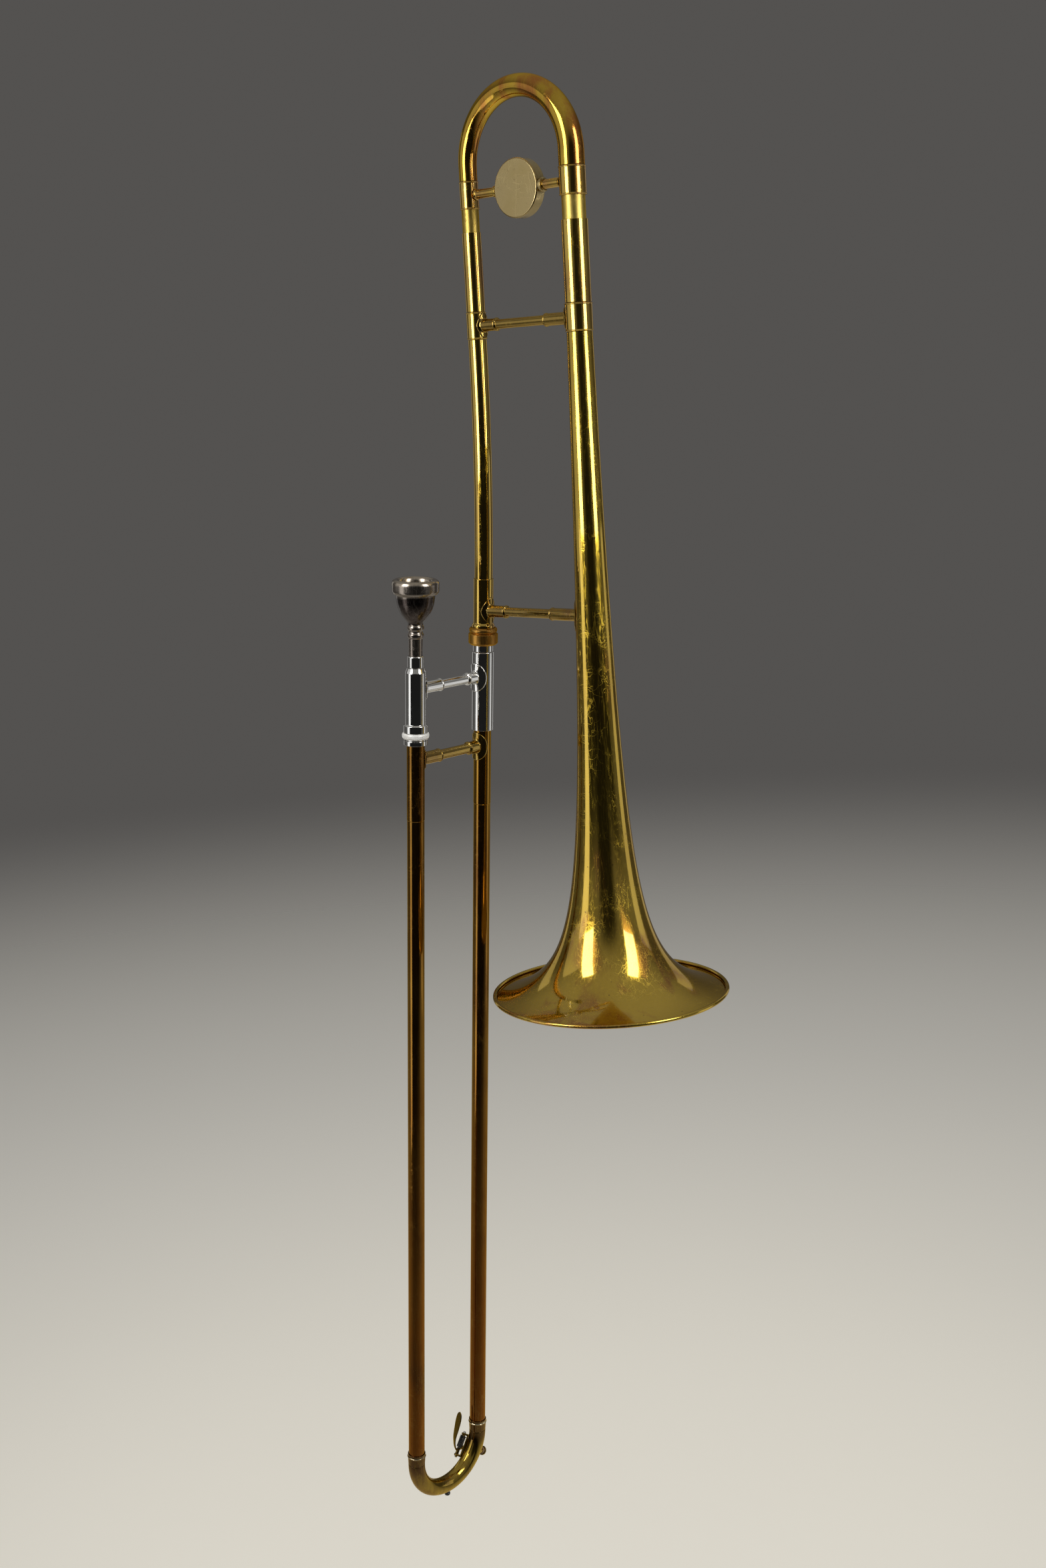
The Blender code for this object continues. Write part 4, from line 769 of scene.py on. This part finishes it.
UPWARD = Vector((0, 0, 1))
for word, neck_r, tilt, neck_stand, bell_stand in (
        ("upper", SLEEVE_NECK_R + GAP, 0.0, 14.4 * MM, 22.4 * MM), ("lower", RECEIVER_R, lean, 17.9 * MM, 28.4 * MM)):
    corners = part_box(word + "_brace")
    level = (corners[0].z + corners[1].z) / 2
    if tilt:
        start_x = slide_top.x + (level - slide_top.z) * math.tan(lean)
        bell_at = bell_radius
        plates = ((11 * MM, 9 * MM), (15 * MM, 10 * MM))
    else:
        start_x = neck_x
        bell_at = None
        plates = ((10 * MM, 7 * MM), (9 * MM, 9 * MM))
    flange(word + "_brace_neck_flange", facing_frame(Vector((start_x, 0, level)), Vector((1, 0, 0)), -UPWARD),
           lambda along, r=neck_r: r, plates[0], ROD_R, neck_stand, 1.4, math.tan(tilt))
    flange(word + "_brace_bell_flange", facing_frame(Vector((bell_x, 0, level)), Vector((-1, 0, 0)), UPWARD),
           (lambda along, z=level: bell_radius(z + along)) if bell_at else (lambda along: SLEEVE_BELL_R + GAP),
           plates[1], ROD_R, bell_stand)
    middle = Vector((0, 0, level))
    # The brace rods take the darker brace copy, whose darkness is painted shade
    turned(word + "_brace", facing_frame(middle, Vector((1, 0, 0)), UPWARD), 12, 48, look="shaded_brace_brass")

for word, rod_r, near_r, far_r, far_plate in (
        ("inner", ROD_R, UPPER_BARREL_R, LOWER_BARREL_R, (9.5 * MM, 8.5 * MM)),
        ("outer", SLIDE_ROD_R, OUTER_SLEEVE_R, OUTER_SLEEVE_R, (8.5 * MM, 7.5 * MM))):
    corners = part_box(word + "_slide_brace")
    centre = (corners[0] + corners[1]) / 2
    drop = (centre - slide_top).dot(slide_up)
    axis_point = slide_top + slide_up * drop
    across = Vector((0, -1, 0))
    flange(word + "_brace_upper_flange", facing_frame(axis_point, across, -slide_up),
           lambda along, r=near_r: r, (11.5 * MM, 10.5 * MM), rod_r, 9.8 * MM)
    flange(word + "_brace_lower_flange", facing_frame(axis_point + across * SLIDE_SPAN, -across, slide_up),
           lambda along, r=far_r: r, far_plate, rod_r, 18.4 * MM)
    turned(word + "_slide_brace", facing_frame(axis_point, across, slide_up), 12, 48,
           look="shaded_brace_brass" if word == "outer" else None)


# ---------------------------------------------------------------- counterweight collar
collar_place = facing_frame(weight, Vector((1, 0, 0)), Vector((0, 0, 1)))
edge_at = 22.3 * MM
collar = [(3.95, 0), (5.1, 0), (5.3, 0.25), (5.3, 2.3), (5.0, 2.7), (4.4, 2.9), (3.95, 2.9)]
collar = [(r * MM, edge_at + h * MM) for r, h in collar]
verts, faces = spin(collar, collar_place, 56, True)
make_object("weight_collar", verts, outward(verts, faces, collar, collar_place), [], "satin_nickel",
            body=nodes["counterweight"]["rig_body"])


# ---------------------------------------------------------------- water key
SLIDE_LENGTH = 704.7 * MM
KEY_ANGLE = 30
KEY_TURN = 45
KEY_STAND = 5.4 * MM
KEY_BARREL_R = 1.6 * MM
KEY_BARREL_LENGTH = 17 * MM
KEY_FOOT = 1.3 * MM
KEY_POST = 1.4 * MM
KEY_POST_R = 2.1 * MM
KEY_SCREW_R = 0.7 * MM
KEY_ARM_START = -6.4
KEY_ARM_WIDE = 2.2 * MM
KEY_ARM_THICK = 1.2 * MM
KEY_ARM_INSET = 2.6 * MM
KEY_CORK_TURN = -135
KEY_TOUCH_LENGTH = 33 * MM
NIPPLE_HEIGHT = 3 * MM
KEY_CORK_R = 3.2 * MM
KEY_CORK_HEIGHT = 2 * MM
KEY_CUP_WALL = 0.8 * MM
SPRING_WIRE_R = 0.35 * MM
KEY_TWIST = -35


def key_frame():
    """Frame of the pivot: Z up along it, X away from the bow's tube."""
    angle, turn = math.radians(KEY_ANGLE), math.radians(KEY_TURN)
    out = Vector((-math.cos(angle), 0, -math.sin(angle)))
    up = Vector((-math.sin(angle), 0, math.cos(angle)))
    away = math.cos(turn) * -out + math.sin(turn) * Vector((0, -1, 0))
    tube_centre = Vector((SLIDE_SPAN / 2, 0, -SLIDE_LENGTH)) + out * SLIDE_SPAN / 2
    matrix = Matrix((away, up.cross(away), up)).transposed().to_4x4()
    matrix.translation = tube_centre + away * (SLIDE_BOW_R + KEY_STAND)
    return SLIDE_FRAME @ matrix


KEY = key_frame()
KEY_CENTRE = Vector((-(SLIDE_BOW_R + KEY_STAND), 0, 0))
RADIAL = (KEY @ Matrix.Translation(KEY_CENTRE) @ Matrix.Rotation(math.radians(KEY_CORK_TURN), 4, "Z")
          @ Matrix.Rotation(math.radians(90), 4, "Y"))


def shell(rings, sides, base, capped=True):
    """Faces of a lofted body over rings of points, with fans over its ends."""
    faces = grid_faces(len(rings), sides, base)
    if capped:
        faces.append(tuple(base + k for k in reversed(range(sides))))
        faces.append(tuple(base + (len(rings) - 1) * sides + k for k in range(sides)))
    return faces


def oval(middle, wide, thick, count=24, square=2.6):
    """Closed outline with half axes wide and thick, a rounded rectangle for a high square."""
    ring = []
    for k in range(count):
        angle = math.tau * k / count
        c, s = math.cos(angle), math.sin(angle)
        ring.append(middle + wide * math.copysign(abs(c) ** (2 / square), c)
                    + thick * math.copysign(abs(s) ** (2 / square), s))
    return ring


def through(rows, share):
    """Values of rows (share, ...) at a share, on a smooth curve."""
    last = len(rows) - 1
    i = max(k for k in range(last) if rows[k][0] <= share)
    a, b = rows[i], rows[i + 1]
    before, after = rows[max(i - 1, 0)], rows[min(i + 2, last)]
    t = (share - a[0]) / (b[0] - a[0])
    values = []
    for k in range(1, len(a)):
        run = b[0] - a[0]
        s1 = (b[k] - before[k]) / (b[0] - before[0]) * run
        s2 = (after[k] - a[k]) / (after[0] - a[0]) * run
        values.append((2 * t ** 3 - 3 * t * t + 1) * a[k] + (t ** 3 - 2 * t * t + t) * s1
                      + (-2 * t ** 3 + 3 * t * t) * b[k] + (t ** 3 - t * t) * s2)
    return values


def key_lever():
    """Pivot barrel, arm, cork cup and finger leaf as one piece."""
    half = KEY_BARREL_LENGTH / 2
    verts, faces = [], []

    def add(ring_list, sides, capped=True, closed=False):
        base = len(verts)
        verts.extend(KEY @ p for ring in ring_list for p in ring)
        faces.extend(grid_faces(len(ring_list), sides, base, True) if closed else
                     shell(ring_list, sides, base, capped))

    r, bore, edge = KEY_BARREL_R, KEY_SCREW_R + 0.12 * MM, 0.2 * MM
    outline = [(bore, half), (r - edge, half), (r, half - edge), (r, half - 0.9 * MM), (r - 0.12 * MM, half - 1.0 * MM),
               (r - 0.12 * MM, -half + 1.0 * MM), (r, -half + 0.9 * MM), (r, -half + edge), (r - edge, -half),
               (bore, -half)]
    circle = [(math.cos(math.tau * k / 36), math.sin(math.tau * k / 36)) for k in range(36)]
    add([[Vector((a * c, a * s, z)) for c, s in circle] for a, z in outline], 36, closed=True)

    cup_level = SLIDE_BOW_R + GAP + NIPPLE_HEIGHT + GAP + KEY_CORK_HEIGHT + GAP
    reach = SLIDE_BOW_R + KEY_STAND
    arm_z = -half + KEY_ARM_INSET
    rings = []
    for i in range(41):
        share = i / 40
        angle = math.radians(KEY_ARM_START + (KEY_CORK_TURN - KEY_ARM_START) * share)
        out = Vector((math.cos(angle), math.sin(angle), 0))
        eased = min(1, share / 0.75)
        middle = reach + (cup_level + 1.3 * MM - reach) * eased
        waist = 1 - 0.25 * math.sin(math.pi * share)
        wide = (KEY_ARM_WIDE + (KEY_CORK_R * 0.8 - KEY_ARM_WIDE) * share) * waist
        rings.append(oval(KEY_CENTRE + out * middle + Vector((0, 0, arm_z * (1 - share))),
                          Vector((0, 0, wide)), out * KEY_ARM_THICK / 2, 20, 3.0))
    add(rings, 20)

    local = KEY.inverted() @ RADIAL
    cup_r = KEY_CORK_R + KEY_CUP_WALL
    low, lip = cup_level - KEY_CUP_WALL, 0.2 * MM
    outline = [(0.02 * MM, cup_level), (KEY_CORK_R + GAP, cup_level), (KEY_CORK_R + GAP, low + lip),
               (KEY_CORK_R + GAP + lip, low), (cup_r - lip, low), (cup_r, low + lip), (cup_r, cup_level + 0.7 * MM),
               (cup_r * 0.93, cup_level + 1.1 * MM), (cup_r * 0.72, cup_level + 1.45 * MM),
               (cup_r * 0.4, cup_level + 1.6 * MM), (0.02 * MM, cup_level + 1.65 * MM)]
    add([[local @ Vector((a * c, a * s, z)) for c, s in circle] for a, z in outline], 36)

    foot = Vector((KEY_BARREL_R + GAP, 0, arm_z))
    angle, turn = math.radians(KEY_ANGLE), math.radians(KEY_TURN)
    rise = Vector((math.sin(angle) * math.cos(turn), math.sin(angle) * math.sin(turn), math.cos(angle)))
    shape = ((0.0, 1.6, 1.0, -0.6), (0.06, 1.5, 0.95, 0.6), (0.14, 1.6, 0.9, 1.2), (0.3, 2.1, 0.85, 1.1),
             (0.55, 3.2, 0.85, -0.7), (0.8, 3.7, 0.8, -2.6), (0.93, 2.9, 0.7, -3.5), (0.985, 1.5, 0.5, -3.85),
             (1.0, 0.5, 0.3, -3.9))
    rings = []
    for i in range(49):
        share = i / 48
        wide, thick, outward_by = through(shape, share)
        twist = math.radians(KEY_TWIST) * min(1.0, share / 0.35)
        across = Vector((math.sin(twist), math.cos(twist), 0))
        facing = Vector((math.cos(twist), -math.sin(twist), 0))
        middle = foot + rise * (KEY_TOUCH_LENGTH * 1.2 * share) + Vector((outward_by * MM, 0, 0))
        rings.append(oval(middle, across * wide * MM, facing * thick * MM, 24, 2.3))
    add(rings, 24)
    fix_normals(make_object("water_key_lever_form", verts, faces, ["water_key_lever"], "lacquered_brass",
                            look="key_brass"))


TO_BOW = (SLIDE_FRAME @ Matrix.Translation((SLIDE_SPAN / 2, 0, -SLIDE_LENGTH))).inverted() @ KEY


def above_bow(point):
    """Height of a point of the key's frame above the slide bow's surface."""
    p = TO_BOW @ point
    return math.hypot(math.hypot(p.x, p.z) - SLIDE_SPAN / 2, p.y) - SLIDE_BOW_R


def key_saddle():
    """Foot on the bow, shaped to its surface, with a bored post at each end of the pivot."""
    low = -KEY_STAND + KEY_FOOT
    half = KEY_BARREL_LENGTH / 2 + GAP + KEY_POST
    verts, faces = [], []
    plate = []
    for i in range(17):
        z = -half + 2 * half * i / 16
        wide = 1.8 * MM + 0.5 * MM * math.cos(math.pi * i / 16) ** 2
        inset = 0.15 * MM if i in (0, 16) else 0.0
        middle = low + 0.4 * MM
        plate.append(oval(Vector((middle, 0, z)), Vector((0, wide - inset, 0)),
                          Vector((0.4 * MM - inset, 0, 0)), 20, 4.0))
        for point in plate[-1]:
            while point.x < middle - 0.05 * MM and above_bow(point) > 1.3 * GAP:
                point.x -= 0.02 * MM
    verts.extend(KEY @ p for ring in plate for p in ring)
    faces.extend(shell(plate, 20, 0))
    sides = 48
    for sign in (-1, 1):
        inside, outside = sign * (half - KEY_POST), sign * half
        bevel = sign * 0.18 * MM

        def outline(extra, z):
            ring = []
            for k in range(sides):
                angle = math.tau * k / sides
                c, s = math.cos(angle), math.sin(angle)
                radius = KEY_POST_R
                if c < -0.5:
                    down = (low + 0.4 * MM) / c
                    radius = max(radius, min(down, 1.5 * MM / max(abs(s), 1e-6)))
                ring.append(Vector(((radius + extra) * c, (radius + extra) * s, z)))
            return ring

        def hole(radius, z):
            return [Vector((radius * math.cos(math.tau * k / sides), radius * math.sin(math.tau * k / sides), z))
                    for k in range(sides)]

        bore = KEY_SCREW_R + 0.1 * MM
        rings = [outline(-0.18 * MM, inside), outline(0, inside + bevel), outline(0, outside - bevel),
                 outline(-0.18 * MM, outside), hole(bore, outside), hole(bore, inside)]
        base = len(verts)
        verts.extend(KEY @ p for ring in rings for p in ring)
        faces.extend(grid_faces(len(rings), sides, base, True))
    fix_normals(make_object("water_key_saddle_form", verts, faces, ["water_key_saddle"], "lacquered_brass",
                            look="key_brass"))


def key_spring():
    """Close coil round the pivot barrel, its ends bent off to the arm and to the saddle."""
    radius = KEY_BARREL_R + SPRING_WIRE_R + 0.35 * MM
    top = KEY_BARREL_LENGTH / 2 - 0.7 * MM
    length = 10.4 * MM
    curls, per_curl = 12, 28
    line = [Vector((-2.6, 3.4, 0)) * MM + Vector((0, 0, top)), Vector((-0.6, 2.75, 0)) * MM + Vector((0, 0, top))]
    for i in range(curls * per_curl + 1):
        angle = math.radians(80) - math.tau * i / per_curl
        line.append(Vector((radius * math.cos(angle), radius * math.sin(angle),
                            top - length * i / (curls * per_curl))))
    last = line[-1]
    line.append(last + Vector((1.1, -0.3, -0.9)) * MM)
    line.append(last + Vector((1.8, -0.9, -2.6)) * MM)
    sides = 10
    verts = []
    for i, p in enumerate(line):
        ahead = (line[min(i + 1, len(line) - 1)] - line[max(i - 1, 0)]).normalized()
        side = ahead.cross(Vector((0, 0, 1)))
        side = side.normalized() if side.length > 1e-4 else Vector((1, 0, 0))
        other = ahead.cross(side)
        for k in range(sides):
            angle = math.tau * k / sides
            verts.append(KEY @ (p + SPRING_WIRE_R * (math.cos(angle) * side + math.sin(angle) * other)))
    faces = shell([None] * len(line), sides, 0)
    fix_normals(make_object("water_key_spring_form", verts, faces, ["water_key_spring"], "dark_steel"))


key_lever()
key_saddle()
key_spring()
turned("water_key_screw", KEY, 10, 32, 0.15 * MM)
turned("water_key_nipple", RADIAL, 12, 40)
turned("water_key_cork", RADIAL, 14, 40, 0.35 * MM)


# ---------------------------------------------------------------- floor, light and camera
PHOTO_SIDE = Vector((0.69, -0.72, 0)).normalized()


def floor():
    mesh = bpy.data.meshes.new("floor")
    size, level = 12.0, -1.86
    mesh.from_pydata([(-size, -size, level), (size, -size, level), (size, size, level), (-size, size, level)],
                     [], [(0, 1, 2, 3)])
    obj = bpy.data.objects.new("floor", mesh)
    bpy.context.scene.collection.objects.link(obj)
    mat, tree = shader_tree("floor_look")
    grain = noise(tree, place_of(tree), 30, 4.0, 0.6)
    spot = put(tree, "ShaderNodeTexCoord").outputs["Object"]
    flat = put(tree, "ShaderNodeMapping", {"Vector": spot, "Location": (0.366, -0.381, 0.0),
                                           "Scale": (0.662, 0.662, 0.0)}).outputs[0]
    far = put(tree, "ShaderNodeVectorMath", {0: flat}, operation="LENGTH").outputs["Value"]
    ahead = put(tree, "ShaderNodeVectorMath", {0: flat, 1: tuple(PHOTO_SIDE)}, operation="DOT_PRODUCT")
    far = calc(tree, "ADD", far, calc(tree, "MAXIMUM", ahead.outputs["Value"], 0.0))
    # The floor's colour is lighter and warmer near the object and greyer further out: a painted fall-off of light
    near = blend(tree, grain, (0.96, 0.92, 0.82), (0.98, 0.94, 0.84))
    colour = blend(tree, ramp(tree, far, 0.3, 1.8), near, (0.66, 0.65, 0.62))
    # Painted light: the floor glows for camera and glossy rays, standing in for lamp light
    paths = put(tree, "ShaderNodeLightPath").outputs
    shown = calc(tree, "MAXIMUM", paths["Is Camera Ray"], paths["Is Glossy Ray"])
    painted_glow = calc(tree, "ADD", calc(tree, "MULTIPLY", shown, 0.17), calc(tree, "MULTIPLY", paths["Is Camera Ray"], 0.12))
    set_shader(tree, {"Base Color": colour, "Roughness": 0.9, "Emission Color": (1.0, 0.96, 0.87, 1.0),
                      "Emission Strength": painted_glow})
    fade = ramp(tree, far, 0.5, 4.2)
    clear = put(tree, "ShaderNodeBsdfTransparent")
    join = put(tree, "ShaderNodeMixShader", {0: fade})
    tree.links.new(tree.nodes["Principled BSDF"].outputs[0], join.inputs[1])
    tree.links.new(clear.outputs[0], join.inputs[2])
    tree.links.new(join.outputs[0], tree.nodes["Material Output"].inputs["Surface"])
    mesh.materials.append(mat)


def panel(name, azimuth, distance, level, size, power):
    """Upright soft panel beside the camera; azimuth is in degrees from the camera's side."""
    data = bpy.data.lights.new(name, "AREA")
    data.shape = "RECTANGLE"
    data.size, data.size_y = size
    data.energy = power
    obj = bpy.data.objects.new(name, data)
    bpy.context.scene.collection.objects.link(obj)
    toward = Matrix.Rotation(math.radians(azimuth), 3, "Z") @ PHOTO_SIDE
    spot = toward * distance + Vector((0, 0, level))
    obj.location = spot
    aim = Vector((0, 0, level if distance > 0.5 else -0.6)) - spot
    obj.rotation_euler = aim.to_track_quat("-Z", "Y").to_euler()


def camera():
    data = bpy.data.cameras.new("camera")
    data.sensor_width = 36
    data.lens = 45.69
    data.clip_start, data.clip_end = 0.05, 60
    obj = bpy.data.objects.new("camera", data)
    bpy.context.scene.collection.objects.link(obj)
    yaw, pitch, roll = (math.radians(a) for a in (43.84, 11.08, -3.15))
    ahead = Vector((-math.sin(yaw) * math.cos(pitch), math.cos(yaw) * math.cos(pitch), -math.sin(pitch)))
    right = Vector((math.cos(yaw), math.sin(yaw), 0))
    up = right.cross(ahead)
    right, up = (math.cos(roll) * right + math.sin(roll) * up, -math.sin(roll) * right + math.cos(roll) * up)
    matrix = Matrix((right, up, -ahead)).transposed().to_4x4()
    matrix.translation = Vector((1.08255, -1.1274, -0.20455))
    obj.matrix_world = matrix
    bpy.context.scene.camera = obj


def world():
    """Room: dark towards the camera, lighter at both sides and overhead, grey behind the object."""
    sky = bpy.data.worlds.new("studio")
    sky.use_nodes = True
    tree = sky.node_tree
    way = put(tree, "ShaderNodeTexCoord").outputs["Generated"]
    height = put(tree, "ShaderNodeSeparateXYZ", {0: way}).outputs[2]
    facing = put(tree, "ShaderNodeVectorMath", {0: way, 1: tuple(PHOTO_SIDE)}, operation="DOT_PRODUCT").outputs["Value"]
    above = blend(tree, ramp(tree, facing, 0.84, 0.97), (0.19, 0.19, 0.18), (0.02, 0.02, 0.02))
    below = blend(tree, ramp(tree, facing, 0.30, 0.60), (0.12, 0.12, 0.115), (0.012, 0.012, 0.012))
    room = blend(tree, ramp(tree, height, -0.10, 0.04), below, above)
    colour = blend(tree, ramp(tree, facing, -0.35, 0.15), (0.088, 0.084, 0.080), room)
    colour = blend(tree, ramp(tree, height, 0.2, 0.9), colour, (0.34, 0.335, 0.315))
    seen = put(tree, "ShaderNodeLightPath").outputs["Is Camera Ray"]
    colour = blend(tree, seen, colour, (0.088, 0.084, 0.080))
    tree.links.new(colour, tree.nodes["Background"].inputs["Color"])
    bpy.context.scene.world = sky


floor()
panel("left_panel", -50, 1.15, 0.15, (0.52, 1.0), 10.5)
panel("right_panel", 51, 1.15, 0.15, (0.46, 1.0), 9.3)
panel("left_low", -68, 1.15, -0.80, (0.45, 0.9), 1.3)
panel("right_low", 92, 1.15, -0.80, (0.40, 0.9), 0.6)
panel("side_panel", -88, 1.6, 0.05, (1.1, 1.0), 1.2)
panel("back_left", -140, 2.0, -0.3, (0.5, 1.6), 0.9)
panel("back_right", 140, 2.0, -0.3, (0.5, 1.6), 0.9)
camera()
world()
bpy.context.scene.view_settings.view_transform = "Standard"
